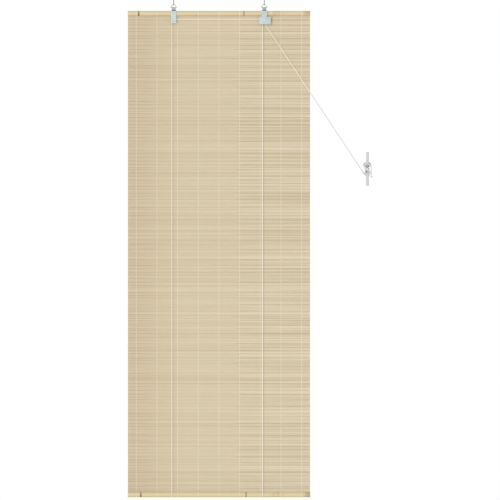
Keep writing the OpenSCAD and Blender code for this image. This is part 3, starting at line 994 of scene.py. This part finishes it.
@dataclass
class Tube:
    """A round cord or wire along a route, with its length and turn as UV."""

    sides: int
    closed: bool = False

    def frames(self, route: Sequence[Vector]) -> list[tuple[Vector, Vector]]:
        """Carries a side direction along the route without twist.

        Args:
            route: The middle of the tube.

        Returns:
            Two directions across the route at each of its points.
        """
        count = len(route)
        found: list[tuple[Vector, Vector]] = []
        side: Vector | None = None
        for i in range(count):
            if self.closed:
                before, after = route[i - 1], route[(i + 1) % count]
            else:
                before, after = route[max(i - 1, 0)], route[min(i + 1, count - 1)]
            heading = (after - before).normalized()
            if side is None:
                side = heading.orthogonal()
            side = (side - heading * side.dot(heading)).normalized()
            found.append((side.copy(), heading.cross(side)))
        return found

    def add(
        self, bm: bmesh.types.BMesh, route: Sequence[Vector], radius: "float | Sequence[float]"
    ) -> None:
        """Adds the tube to a mesh.

        Args:
            bm: The mesh.
            route: The middle of the tube.
            radius: Its radius, or one for each point.
        """
        uv = bm.loops.layers.uv.get("run") or bm.loops.layers.uv.new("run")
        radii = [radius] * len(route) if isinstance(radius, float) else list(radius)
        turns = [2 * math.pi * k / self.sides for k in range(self.sides)]
        rings, runs, run = [], [], 0.0
        for i, (p, (u, v)) in enumerate(zip(route, self.frames(route))):
            run += (p - route[i - 1]).length if i else 0.0
            runs.append(run)
            rings.append([bm.verts.new(p + (u * math.cos(a) + v * math.sin(a)) * radii[i]) for a in turns])
        if self.closed:
            rings.append(rings[0])
            runs.append(run + (route[0] - route[-1]).length)
        for i in range(len(rings) - 1):
            for k in range(self.sides):
                j = (k + 1) % self.sides
                face = bm.faces.new((rings[i][k], rings[i][j], rings[i + 1][j], rings[i + 1][k]))
                spots = ((i, k), (i, k + 1), (i + 1, k + 1), (i + 1, k))
                for loop, (a, b) in zip(face.loops, spots):
                    loop[uv].uv = (runs[a], b / self.sides)
        if not self.closed:
            for ring, place in ((rings[0][::-1], 0.0), (rings[-1], runs[-1])):
                for loop in bm.faces.new(ring).loops:
                    loop[uv].uv = (place, 0.0)

    def piece(
        self, name: str, route: Sequence[Vector], radius: "float | Sequence[float]"
    ) -> bpy.types.Object:
        """Makes the tube as a piece of its own.

        Args:
            name: Name of the piece.
            route: The middle of the tube.
            radius: Its radius, or one for each point.

        Returns:
            The piece.
        """
        bm = bmesh.new()
        self.add(bm, route, radius)
        return from_bmesh(name, bm, sharp=60.0)


def dress(nodes: Iterable[str], finish: bpy.types.Material) -> None:
    """Gives CAD nodes that stay a finish through their material slots.

    Args:
        nodes: Names of the nodes.
        finish: The material.
    """
    for name in nodes:
        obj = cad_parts[name]
        if not obj.material_slots:
            obj.data.materials.append(finish)
        for slot in obj.material_slots:
            slot.material = finish
        LOG.info("%s: CAD node with %s", name, finish.name)


# Studio


@dataclass(frozen=True)
class Lamp:
    """A soft lamp far away: the direction of its light, its strength and its size in degrees."""

    name: str
    heading: Point
    power: float
    width: float

    def hang(self) -> None:
        """Puts the lamp into the scene."""
        data = bpy.data.lights.new(self.name, "SUN")
        data.energy = self.power
        data.angle = math.radians(self.width)
        lamp = put(self.name, data)
        lamp.rotation_euler = Vector(self.heading).to_track_quat("-Z", "Y").to_euler()


@dataclass
class Studio:
    """Camera, floor and light, in metres; the lens and its sensor are in millimetres."""

    lens: float = 150.0
    sensor: float = 36.0
    view: float = 1.6455
    aim: Point = (0.102, 0.004, -0.8338)
    far: float = 100.0
    floor_x: Span = (-2.2, 2.4)
    floor_y: Span = (-3.0, 3.0)
    floor_z: float = -2.40
    key: Lamp = Lamp("key_lamp", (0.30, 0.93, 0.02), 1.40, 34.0)
    rear: Lamp = Lamp("rear_lamp", (-0.35, -0.75, -0.55), 1.3, 25.0)
    fill: float = 0.60
    background: Colour = (1.0, 1.0, 1.0)

    def set_camera(self) -> None:
        """Puts the camera level in front of the mat, at the photograph's frame."""
        data = bpy.data.cameras.new("camera")
        data.lens = self.lens
        data.sensor_width = self.sensor
        data.sensor_fit = "HORIZONTAL"
        data.clip_end = self.far
        camera = put("camera", data)
        distance = self.view * self.lens / self.sensor
        camera.location = (self.aim[0], self.aim[1] - distance, self.aim[2])
        camera.rotation_euler = (math.pi / 2, 0.0, 0.0)
        bpy.context.scene.camera = camera

    def lay_floor(self) -> None:
        """Lays a pale floor below the blind."""
        bm = bmesh.new()
        left, right = self.floor_x
        near, back = self.floor_y
        corners = ((left, near), (right, near), (right, back), (left, back))
        bm.faces.new([bm.verts.new((x, y, self.floor_z)) for x, y in corners])
        floor = from_bmesh("studio_floor", bm)
        floor.data.materials.append(FloorFinish("studio_floor").make())

    def set_world(self) -> None:
        """Fills the shadows and makes the background white."""
        world = bpy.data.worlds.new("studio")
        world.use_nodes = True
        world.node_tree.nodes.clear()
        g = Graph(world.node_tree)
        path = g.node("ShaderNodeLightPath")
        seen = g.out(path, "Is Camera Ray").largest(g.out(path, "Is Glossy Ray"))
        seen = seen.largest(g.out(path, "Is Transmission Ray"))
        around = g.node("ShaderNodeBackground", {}, {"Color": self.background, "Strength": self.fill})
        back = g.node("ShaderNodeBackground", {}, {"Color": self.background, "Strength": 1.0})
        both = g.node("ShaderNodeMixShader", {}, {0: seen, 1: around, 2: back})
        g.node("ShaderNodeOutputWorld", {}, {"Surface": both})
        bpy.context.scene.world = world

    def light(self) -> None:
        """Sets the lamps, the world and the plain view transform."""
        self.key.hang()
        self.rear.hang()
        self.set_world()
        bpy.context.scene.view_settings.view_transform = "Standard"


# Cords


@dataclass
class Cords:
    """Lift cords over the pulleys and the pull cord on its cleat, in millimetres."""

    finishes: Finishes
    diameter: float = 2.4
    sides: int = 14
    hang_x: float = HANG_X
    run_r: float = 5.5
    rear_run: float = -5.1
    front_run: float = -8.9
    left_foot: float = -8.0
    axle_z: float = -33.5
    tie_y: float = 9.4
    tie_z: float = -27.0
    foot_z: float = -1596.5
    foot_r: float = 5.0
    joiner_z: float = -39.5
    run_steps: int = 48
    bend_steps: int = 8
    cross_steps: int = 20
    tie_knot: float = 4.4
    tail_knot: float = 5.8
    knot_share: float = 0.215
    knot_sides: int = 10
    knot_steps: int = 40
    slack: float = 3.0
    reach_steps: int = 44
    bow_steps: int = 22
    ease_steps: int = 4
    mat_edge: float = 303.0

    # Points below the lock, then points of the hitch from the middle of the cleat
    LEAD = ((154.5, -7.0, -44.5), (154.5, -7.0, -47.5), (155.7, -7.0, -50.7))
    HITCH = (
        (-14.5, 1.5, -10.0), (-10.0, 5.4, -17.0), (-5.0, 8.6, -20.8), (0.5, 9.4, -21.4), (5.8, 7.2, -20.0),
        (9.0, 2.4, -15.6), (9.2, -3.6, -10.6), (7.6, -8.2, -7.6), (4.2, -9.2, -4.2), (0.0, -8.9, 0.0),
        (-4.2, -9.2, 4.2), (-7.6, -8.2, 7.6), (-9.0, -4.0, 10.6), (-9.0, 1.4, 15.0), (-6.0, 6.6, 18.6),
        (0.0, 9.0, 19.2), (6.0, 6.6, 18.6), (9.0, 1.4, 15.0), (9.0, -4.0, 10.6), (7.6, -8.4, 7.6),
        (4.4, -10.6, 4.6), (0.0, -11.8, 0.0), (-4.4, -10.6, -4.6), (-7.8, -8.4, -8.0), (-9.2, -4.0, -11.6),
        (-9.0, -0.4, -15.2), (-6.2, 3.6, -18.6), (0.0, 5.4, -18.8), (5.8, 3.4, -18.6), (8.8, -1.2, -16.4),
        (9.0, -5.6, -13.6), (6.6, -9.2, -11.2), (2.6, -11.8, -7.2), (-2.6, -14.4, -2.0), (-6.8, -12.0, 2.6),
        (-10.2, -8.0, 6.0), (-12.0, -2.6, 10.4), (-11.6, 2.8, 16.0), (-7.6, 5.8, 21.0), (-2.0, 6.6, 22.6),
        (3.0, 6.4, 22.4), (8.4, 4.6, 20.4), (11.9, 1.2, 15.0), (12.6, -0.6, 7.0), (13.0, -0.8, -2.0),
        (13.6, -0.4, -14.0), (14.0, 0.0, -26.0),
    )

    @property
    def radius(self) -> float:
        """Radius of a cord in metres."""
        return self.diameter * MM / 2

    def knot(self, name: str, middle: Vector, width: float, body: Body) -> bpy.types.Object:
        """Makes a pulled-tight overhand knot.

        Args:
            name: Name of the piece.
            middle: Middle of the knot.
            width: Its width.
            body: The body that it rides on.

        Returns:
            The knot.
        """
        reach, depth = 3.0, 1.6
        strand = width * MM * self.knot_share
        scale = (width * MM / 2 - strand) / reach
        route = []
        for i in range(self.knot_steps):
            t = 2 * math.pi * i / self.knot_steps
            x = math.sin(t) + 2 * math.sin(2 * t)
            z = math.cos(t) - 2 * math.cos(2 * t)
            route.append(middle + Vector((x, -depth * math.sin(3 * t), z)) * scale)
        obj = Tube(self.knot_sides, closed=True).piece(name, route, strand)
        return seat(obj, self.finishes.cord, body)

    def hitch_route(self) -> list[Vector]:
        """Gives the points of the hitch round the cleat."""
        return [on_blind(*(a + b for a, b in zip(p, CLEAT))) for p in self.HITCH]

    def pull_route(self) -> list[Vector]:
        """Gives the pull cord's route from the lock round the cleat to its tail.

        Returns:
            The points, with a slight bow that clears the bottom rail where it is raised past the cord.
        """
        lead = [on_blind(*p) for p in self.LEAD]
        hitch = self.hitch_route()
        reach = stretch(lead[-1], hitch[0], self.reach_steps)[1:-1]
        for i, point in enumerate(reach[:self.bow_steps]):
            point.y -= self.slack * MM * math.sin(math.pi * (i + 1) / self.bow_steps)
        start = eased([*lead, reach[0]], self.ease_steps)[:-1]
        return [*start, *reach, *eased([reach[-1], *hitch], self.ease_steps)[1:]]

    def build_pull(self) -> None:
        """Makes the pull cord and the knot in its tail."""
        route = self.pull_route()
        pull = Tube(self.sides).piece("pull_cord_braid", route, self.radius)
        seat(pull, self.finishes.cord, None)
        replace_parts(pull, "pull_cord")
        at_cleat = self.hitch_route()[0]
        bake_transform(pull)
        tail = self.knot("tail_knot", route[-1], self.tail_knot, Body.FIXINGS)
        length_of(route)

    def stretch_piece(self, node: str, route: Sequence[Vector], body: Body) -> bpy.types.Object:
        """Makes one stretch of a lift cord.

        Args:
            node: The CAD node that it stands for.
            route: Its middle line.
            body: The body that it rides on.

        Returns:
            The stretch.
        """
        obj = Tube(self.sides).piece(f"{node}_braid", route, self.radius)
        seat(obj, self.finishes.cord, body)
        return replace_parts(obj, node)

    def build_side(self, side: str, x: float, front_y: float, foot_y: float) -> None:
        """Makes the front run, the bight and the rear run of one lift cord.

        Args:
            side: left or right.
            x: Place along the rail.
            front_y: Depth of the front run at its pulley.
            foot_y: Depth of the front run at the bottom rail.
        """
        foot, r = self.foot_z, self.foot_r
        rear_y = self.tie_y - r
        front = stretch(on_blind(x, foot_y, foot), on_blind(x, front_y, self.axle_z), self.run_steps)
        run = self.stretch_piece(f"{side}_front_cord", front, Body.BLIND)
        keep = 1.0 - LIFT * MM / length_of(front)
        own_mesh(run)
        bend = arc((foot_y + r, foot), r, 180, 270, self.bend_steps)
        bend += arc((rear_y, foot), r, 270, 360, self.bend_steps)
        self.stretch_piece(f"{side}_bight_cord", [on_blind(x, y, z) for y, z in bend], Body.BOTTOM_RAIL)
        rear = stretch(on_blind(x, self.tie_y, foot), on_blind(x, self.tie_y, self.tie_z), self.run_steps)
        over = arc((rear_y, self.tie_z), r, 0, 90, self.bend_steps)[1:]
        rear += [on_blind(x, y, z) for y, z in over]
        back = self.stretch_piece(f"{side}_rear_cord", rear, Body.BLIND)
        keep = 1.0 - LIFT * MM / (rear[-1].z - rear[0].z)
        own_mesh(back)
        tie = on_blind(x, rear_y, self.tie_z + r)
        self.knot(f"{side}_tie_knot", tie, self.tie_knot, Body.BLIND)

    def build_lift(self) -> None:
        """Makes both lift cords and their runs over the pulleys."""
        left, right = -self.hang_x, self.hang_x
        axle, r, steps = self.axle_z, self.run_r, self.bend_steps
        self.build_side("left", left - r, self.rear_run, self.left_foot)
        self.build_side("right", right - r, self.front_run, self.front_run)
        mouth = (right + r, self.joiner_z)
        turn = arc((left, axle), r, 180, 90, steps)
        level = stretch(Vector((left, axle + r)), Vector((right, axle + r)), self.cross_steps)[1:-1]
        down = arc((right, axle), r, 90, 0, steps)
        cross = [*turn, *level, *down, mouth]
        self.stretch_piece("cross_cord", [on_blind(x, self.rear_run, z) for x, z in cross], Body.BLIND)
        over = [*arc((right, axle), r, 180, 0, 2 * steps), mouth]
        self.stretch_piece("right_over_cord", [on_blind(x, self.front_run, z) for x, z in over], Body.BLIND)


# Mat and threads


@dataclass
class ReedMat:
    """The mat of reeds, one beside the other, in metres."""

    finishes: Finishes
    width: float = MAT_WIDTH * MM
    height: float = MAT_HEIGHT * MM
    thickness: float = 0.0019
    thinnest: float = 0.86
    shortest: float = 0.9978
    overlap: float = 1.07
    sunk: float = 0.38
    slide: float = 0.0007
    bow: float = 0.0006
    bow_waves: Point = (8.0, 91.0, 0.0)
    sag: float = 0.0005
    sag_waves: Point = (6.0, 47.0, 9.0)
    stations: int = 9
    sides: int = 8
    count: int = 740
    every: int = 5
    seed: int = 11

    def build(self) -> None:
        """Lays the reeds from the upper edge to the lower one."""
        top = on_blind(0.0, 0.0, 0.0)
        rule = Rule("reed_rows", {
            "Count": self.count, "Pitch": self.height / self.count, "Width": self.width,
            "Thickness": self.thickness, "Top": top.z, "Depth": top.y, "Line Every": self.every,
            "Seed": self.seed, "Finish": self.finishes.reed,
        })
        pitch, width = rule.size("Pitch"), rule.size("Width")
        spine = rule.node("GeometryNodeCurvePrimitiveLine", {"mode": "POINTS"}, {
            "Start": rule.vector(width * -0.5, 0.0, 0.0), "End": rule.vector(width * 0.5, 0.0, 0.0)})
        spine = rule.node("GeometryNodeResampleCurve", {}, {"Curve": spine, "Count": self.stations})
        reed = rule.rod(spine, self.sides, 1.0)
        rows = rule.node("GeometryNodeMeshLine", {"mode": "OFFSET"}, {
            "Count": rule.size("Count"),
            "Start Location": rule.vector(0.0, rule.size("Depth"), rule.size("Top") - pitch * 0.5),
            "Offset": rule.vector(0.0, 0.0, pitch * -1.0)})
        every = rule.size("Line Every")
        group = (rule.index() / every).floor()
        chosen = rule.chance(0.0, self.every - 2.0, 1, group).floor() + 1.0
        line = (rule.index() - group * every).close_to(chosen, 0.5)
        deep = rule.size("Thickness") * 0.5 * rule.chance(self.thinnest, 1.0, 2) * (1.0 - line * self.sunk)
        scale = rule.vector(rule.chance(self.shortest, 1.0, 3), deep, pitch * (self.overlap / 2))
        laid = rule.node("GeometryNodeInstanceOnPoints", {}, {
            "Points": rows, "Instance": reed, "Scale": scale})
        laid = rule.keep(laid, "tone", rule.chance(0.0, 1.0, 4))
        laid = rule.keep(laid, "line", line)
        real = rule.node("GeometryNodeRealizeInstances", {}, {"Geometry": laid})
        x, _, _ = rule.split(rule.out(rule.node("GeometryNodeInputPosition")))
        tone = rule.kept("tone")
        bow = rule.grain((x, tone, 1.0), self.bow_waves, 1.0) - 0.5
        sag = rule.grain((x, tone, 1.0), self.sag_waves, 1.0) - 0.5
        slide = (tone * 37.0) % 1.0 - 0.5
        offset = rule.vector(slide * self.slide, bow * self.bow, sag * self.sag)
        moved = rule.node("GeometryNodeSetPosition", {}, {"Geometry": real, "Offset": offset})
        mat = seat(rule.grow("reed_mat_rows", moved), None, Body.BLIND)
        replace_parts(mat, "reed_mat")
        tuple(on_blind(0, 0, -17))
        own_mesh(mat)


@dataclass
class WarpThreads:
    """Lines of stitches through the mat, bound over both rails.

    What the node trees take is in metres, and the rails' sizes are in millimetres.
    """

    finishes: Finishes
    lines: int = 9
    spacing: float = 0.068
    pitch: float = 0.00432
    width: float = 0.0017
    flatness: float = 0.6
    overlap: float = 1.22
    slant: float = 0.42
    stray_turn: float = 0.06
    stray: float = 0.00012
    segments: int = 6
    rings: int = 4
    yarn: float = 0.00045
    yarn_sides: int = 6
    apart: float = 0.0009
    face_y: float = 0.95
    mat_h: float = MAT_HEIGHT
    slat_h: float = SLAT_HEIGHT
    crown: float = SLAT_CROWN
    stem_r: float = STEM_RADIUS
    leg: float = 1.4
    gap: float = 0.42
    over_steps: int = 10
    seed: int = 3

    def stitches(self, face: Face) -> bpy.types.Object:
        """Sews the stitches of one face of the mat.

        Args:
            face: The face that they lie on.

        Returns:
            All stitches of that face as one piece.
        """
        top = on_blind(0.0, face.value * self.face_y, -self.slat_h - self.leg)
        reach = (self.mat_h - 2 * self.slat_h - 2 * self.leg) * MM
        rule = Rule(f"stitch_lines_{face.name.lower()}", {
            "Lines": self.lines, "Rows": int(reach / self.pitch), "Spacing": self.spacing,
            "Pitch": self.pitch, "Depth": top.y, "Top": top.z, "Width": self.width,
            "Seed": self.seed + face.value, "Finish": self.finishes.thread,
        })
        lines, pitch, width = rule.size("Lines"), rule.size("Pitch"), rule.size("Width")
        number = rule.index()
        row = (number / lines).floor()
        column = number - row * lines
        stray = rule.chance(-self.stray, self.stray, 1)
        x = (column - (lines - 1.0) * 0.5) * rule.size("Spacing") + stray
        place = rule.vector(x, rule.size("Depth"), rule.size("Top") - row * pitch)
        bead = rule.node("GeometryNodeMeshUVSphere", {}, {
            "Segments": self.segments, "Rings": self.rings, "Radius": 0.5})
        tilt = (row % 2.0 - 0.5) * self.slant + rule.chance(-self.stray_turn, self.stray_turn, 2)
        laid = rule.node("GeometryNodeInstanceOnPoints", {}, {
            "Points": rule.dots(lines * rule.size("Rows"), place), "Instance": bead,
            "Rotation": rule.vector(0.0, tilt, 0.0),
            "Scale": rule.vector(width, width * self.flatness, pitch * self.overlap)})
        piece = seat(rule.grow(f"warp_stitches_{face.name.lower()}", laid), None, Body.BLIND)
        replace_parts(piece, "warp_threads")
        anchor = tuple(on_blind(0, 0, -self.slat_h))
        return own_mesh(piece)

    def outline(self, bottom: bool) -> list[Vector]:
        """Gives the line of one binding over a rail, at x = 0.

        Args:
            bottom: True for the bottom rail.

        Returns:
            The points from the front of the mat over the rail to its rear.
        """
        gap, rail, half = self.gap, -self.slat_h, self.slat_h / 2
        spread = math.degrees(math.asin(half / self.stem_r))
        middle = (self.crown - self.stem_r, -half)
        over = arc(middle, self.stem_r + gap, -spread, spread, self.over_steps)
        # Depth and height from the mat's front over the rounded rail to the mat's middle, then mirrored
        flat = [(-1.25, rail - self.leg), (-1.5, rail - 0.7), (-3.6, rail - gap)]
        flat += [(-y, z) for y, z in over]
        flat += [(-3.4, gap), (-1.4, gap + 0.05)]
        flat += [(-y, z) for y, z in reversed(flat)]
        if bottom:
            flat = [(y, -self.mat_h - z) for y, z in flat]
        return [on_blind(0.0, y, z) for y, z in flat]

    def bindings(self, bottom: bool) -> bpy.types.Object:
        """Binds the threads over one rail.

        Args:
            bottom: True for the bottom rail.

        Returns:
            The bindings of that rail as one piece.
        """
        name = "bottom_rail_bindings" if bottom else "head_rail_bindings"
        route = self.outline(bottom)
        start = bpy.data.meshes.new(name)
        start.from_pydata([tuple(p) for p in route], [(i, i + 1) for i in range(len(route) - 1)], [])
        rule = Rule(name, {
            "Lines": self.lines, "Spacing": self.spacing, "Yarn": self.yarn, "Apart": self.apart,
            "Finish": self.finishes.thread,
        })
        curve = rule.node("GeometryNodeMeshToCurve", {}, {"Mesh": rule.out(rule.entry, "Geometry")})
        strand = rule.rod(curve, self.yarn_sides, rule.size("Yarn"))
        lines = rule.size("Lines")
        number = rule.index()
        pair = (number / 2.0).floor()
        x = (pair - (lines - 1.0) * 0.5) * rule.size("Spacing") + (number % 2.0 - 0.5) * rule.size("Apart")
        dots = rule.dots(lines * 2.0, rule.vector(x, 0.0, 0.0))
        laid = rule.node("GeometryNodeInstanceOnPoints", {}, {"Points": dots, "Instance": strand})
        body = Body.BOTTOM_RAIL if bottom else Body.BLIND
        return seat(rule.grow(name, laid, start), None, body)

    def build(self) -> None:
        """Sews both faces and binds both rails."""
        for face in Face:
            self.stitches(face)
        for bottom in (False, True):
            self.bindings(bottom)


# Rails


@dataclass
class SplitSlat:
    """A slat split from a bamboo stem, with the rings of its nodes, in millimetres."""

    finishes: Finishes
    node: str
    face: Face
    top: float
    first_knot: float
    body: Body
    spacing: float = 346.0
    length: float = MAT_WIDTH
    height: float = SLAT_HEIGHT
    crown: float = SLAT_CROWN
    inner: float = 1.0
    stem_r: float = STEM_RADIUS
    edge: float = 0.5
    rind_steps: int = 14
    swell: float = 0.36
    swell_reach: float = 1.5
    groove: float = 0.22
    groove_reach: float = 0.4
    mark_reach: float = 1.75
    bow: float = 0.12
    bow_turn: float = 0.021
    ripple: float = 0.07
    ripple_turn: float = 0.053
    settle: float = 0.1
    chamfer: float = 0.35
    end_draw: float = 0.6
    rind_y: float = 2.0
    parts: int = 60

    BESIDE_KNOT = (0, 0.35, 0.7, 1.1, 1.6, 2.2, 3, 4.5)
    KNOT_CLEAR = 5.0

    def section(self) -> list[tuple[float, float, float]]:
        """Gives the slat's outline.

        Returns:
            For each point its depth, its height above the upper edge, which is 0 or less, and how much
            of the rind's swell it takes.
        """
        half = self.height / 2
        middle = (self.crown - self.stem_r, -half)
        spread = math.degrees(math.asin((half - self.edge) / self.stem_r))
        rind = [(y, z, 1.0) for y, z in arc(middle, self.stem_r, spread, -spread, self.rind_steps)]
        edge = rind[0][0]
        top = [(self.inner, -0.15, 0.0), (self.inner + 0.4, 0.0, 0.0)]
        top += [(edge - 0.7, 0.0, 0.3), (edge - 0.15, -0.14, 0.7)]
        low = [(y, -self.height - z, s) for y, z, s in reversed(top)]
        return [*top, *rind, *low]

    def stations(self) -> list[float]:
        """Sets out the sections along the slat, closer together at its nodes.

        Returns:
            Their places along the slat, in order.
        """
        half = self.length / 2
        places = {-half + self.length * i / self.parts for i in range(1, self.parts)}
        places |= {-half, -half + self.edge, half - self.edge, half}
        for knot in self.knots():
            places = {x for x in places if abs(x - knot) > self.KNOT_CLEAR}
            places |= {knot + side * d for side in (-1, 1) for d in self.BESIDE_KNOT}
        return sorted(places)

    def knots(self) -> tuple[float, float]:
        """Gives the places of the nodes."""
        return self.first_knot, self.first_knot + self.spacing

    @staticmethod
    def hump(away: float, reach: float) -> float:
        """Gives a smooth hump of height 1 that fades within a reach."""
        return math.exp(-((away / reach) ** 2))

    def build(self) -> None:
        """Lofts the slat and marks its nodes and edges."""
        outline = self.section()
        bm = bmesh.new()
        knot_mark = bm.verts.layers.float.new("knot")
        rim_mark = bm.verts.layers.float.new("rim")
        half = self.length / 2
        rings = []
        for x in self.stations():
            away = min(abs(x - k) for k in self.knots())
            swell = self.swell * self.hump(away, self.swell_reach)
            swell -= self.groove * self.hump(away, self.groove_reach)
            bow = self.bow * math.sin(x * self.bow_turn + self.first_knot)
            bow += self.ripple * math.sin(x * self.ripple_turn) - self.settle
            end = self.chamfer if half - abs(x) < 0.01 else 0.0
            ring = []
            for y, z, grow in outline:
                out = y + grow * (swell + bow) - end * (self.end_draw if y > self.rind_y else 0.0)
                tilt = z / (self.height / 2) + 1.0
                vert = bm.verts.new(on_blind(x, self.face.value * out, self.top + z - end * tilt))
                vert[knot_mark] = grow * self.hump(away, self.mark_reach)
                vert[rim_mark] = tilt
                ring.append(vert)
            rings.append(ring)
        count = len(outline)
        for a, b in zip(rings, rings[1:]):
            for k in range(count):
                j = (k + 1) % count
                bm.faces.new((a[k], a[j], b[j], b[k]))
        bm.faces.new(rings[0])
        bm.faces.new(rings[-1][::-1])
        bmesh.ops.recalc_face_normals(bm, faces=bm.faces)
        slat = from_bmesh(f"{self.node}_bamboo", bm, sharp=50.0)
        seat(slat, self.finishes.bamboo, self.body)
        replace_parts(slat, self.node)


# Hardware


@dataclass
class ScrewHook:
    """A wire hook with a screw thread that goes into the ceiling, in millimetres."""

    finishes: Finishes
    node: str
    x: float
    wire: float = 1.5
    wire_sides: int = 20
    shank: float = 12.0
    bend_r: float = 4.0
    bend_steps: int = 10
    loop_r: float = 5.5
    loop_stop: float = -195.0
    loop_steps: int = 44
    tip_step: float = 0.25
    core: float = 1.3
    crest: float = 1.8
    crest_sides: int = 4
    screw: float = 20.0
    lead: float = 1.45
    turn_steps: int = 18
    first_turn: float = 2.6
    bare: float = 4.6
    plain_point: float = 1.2
    fade: float = 3.6
    raised: float = 0.12

    TIP = (0.96, 0.82, 0.55)

    def build(self) -> None:
        """Bends the wire and cuts its thread."""
        loop_z = -self.shank - self.bend_r - self.loop_r
        # Height and radius from the screw's point down to the bend
        profile = [(self.screw, 0.12), (self.screw - 1.0, 0.45), (self.screw - 4.0, self.core)]
        profile += [(2.4, self.core), (1.2, self.wire), (0.0, self.wire)]
        profile += [(-4.0, self.wire), (-8.0, self.wire)]
        route = [Vector((self.x, 0.0, z)) * MM for z, _ in profile]
        radii = [r * MM for _, r in profile]
        bend = arc((self.bend_r, -self.shank), self.bend_r, 180, 270, self.bend_steps)[:-1]
        loop = arc((self.bend_r, loop_z), self.loop_r, 90, self.loop_stop, self.loop_steps)
        for y, z in [*bend, *loop]:
            route.append(Vector((self.x, y, z)) * MM)
            radii.append(self.wire * MM)
        tip = (route[-1] - route[-2]).normalized()
        for share in self.TIP:
            route.append(route[-1] + tip * self.tip_step * MM)
            radii.append(self.wire * MM * share)
        bm = bmesh.new()
        Tube(self.wire_sides).add(bm, route, radii)
        ridge, heights = [], []
        turns = (self.screw - self.bare) / self.lead
        for i in range(int(turns * self.turn_steps) + 1):
            a = 2 * math.pi * i / self.turn_steps
            z = self.first_turn + self.lead * i / self.turn_steps
            taper = min(1.0, (self.screw - self.plain_point - z) / self.fade)
            r = (self.core + self.raised) * taper
            ridge.append(Vector((self.x + r * math.cos(a), r * math.sin(a), z)) * MM)
            heights.append((self.crest - self.core) * (0.25 + 0.6 * taper) * MM)
        Tube(self.crest_sides).add(bm, ridge, heights)
        hook = from_bmesh(f"{self.node}_wire", bm, sharp=55.0)
        seat(hook, self.finishes.wire, Body.FIXINGS)
        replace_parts(hook, self.node)


@dataclass
class HangingRing:
    """A closed three-cornered ring of wire on its bracket, in millimetres."""

    finishes: Finishes
    node: str
    x: float
    bar_z: float = 10.5
    wire: float = 1.0
    wire_sides: int = 18
    width: float = 21.0
    rise: float = 12.4
    corner_r: float = 1.5
    corner_steps: int = 8
    apex_r: float = 2.7
    apex_steps: int = 16
    weld: float = 0.25

    def build(self) -> None:
        """Bends the ring."""
        low = (self.width / 2 - self.wire - self.corner_r, self.corner_r)
        high = (0.0, self.rise - self.apex_r)
        turn = math.degrees(math.atan2(high[1] - low[1], high[0] - low[0]))
        apart = math.hypot(high[0] - low[0], high[1] - low[1])
        side = turn - math.degrees(math.acos((self.corner_r - self.apex_r) / apart))
        flat = arc(low, self.corner_r, -90, side, self.corner_steps)
        flat += arc(high, self.apex_r, side, 180 - side, self.apex_steps)
        flat += arc((-low[0], low[1]), self.corner_r, 180 - side, 270, self.corner_steps)
        flat += [(x, 0.0) for x in (-low[0] / 2, -self.weld, self.weld, low[0] / 2)]
        route = [on_blind(self.x + x, 0.0, self.bar_z + z) for x, z in flat]
        ring = Tube(self.wire_sides, closed=True).piece(f"{self.node}_wire", route, self.wire * MM)
        seat(ring, self.finishes.wire, Body.FIXINGS)
        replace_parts(ring, self.node)


@dataclass
class Hardware:
    """Brackets, lock, pulleys and cleat; the width of a rounded edge is in metres."""

    finishes: Finishes
    edge: float = 0.00025
    joiner_edge: float = 0.0004
    cleat_edge: float = 0.0008

    def build(self) -> None:
        """Rounds the edges of the plates and dresses what stays of the CAD."""
        f = self.finishes
        rounded = (
            ("left_bracket", f.plate, "plated_steel", Body.BLIND, self.edge),
            ("lock_cover", f.plate, "plated_steel", Body.BLIND, self.edge),
            ("lock_core", f.moulding, "moulding", Body.BLIND, self.edge),
            ("cord_joiner", f.moulding, "moulding", Body.BLIND, self.joiner_edge),
            ("cord_cleat", f.cleat, "cleat", Body.FIXINGS, self.cleat_edge),
        )
        for node, finish, slot, body, width in rounded:
            obj = softened(f"{node}_rounded", node, width)
            seat(obj, finish, body)
            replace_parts(obj, node)
        dress(("left_rail_rivet", "right_rail_rivet", "left_axle", "lock_axle", "lock_roller"), f.wire)
        dress(("left_pulley", "rear_lock_pulley", "front_lock_pulley", "guide_bush"), f.moulding)


def main() -> None:
    """Builds the studio and all pieces in order."""
    logging.basicConfig(level=logging.INFO, format="%(name)s: %(message)s")
    studio = Studio()
    studio.set_camera()
    finishes = Finishes()
    cords = Cords(finishes)
    cords.build_pull()
    cords.build_lift()
    ReedMat(finishes).build()
    WarpThreads(finishes).build()
    low = SLAT_HEIGHT - MAT_HEIGHT
    for slat in (
        SplitSlat(finishes, "head_slat_front", Face.FRONT, 0.0, -264.0, Body.BLIND),
        SplitSlat(finishes, "head_slat_rear", Face.REAR, 0.0, -177.5, Body.BLIND),
        SplitSlat(finishes, "bottom_slat_front", Face.FRONT, low, -257.0, Body.BOTTOM_RAIL),
        SplitSlat(finishes, "bottom_slat_rear", Face.REAR, low, -170.5, Body.BOTTOM_RAIL),
    ):
        slat.build()
    for side, x in (("left", -HANG_X), ("right", HANG_X)):
        ScrewHook(finishes, f"{side}_hook", x).build()
        HangingRing(finishes, f"{side}_ring", x).build()
    Hardware(finishes).build()
    studio.lay_floor()
    studio.light()


if __name__ == "__main__":
    main()
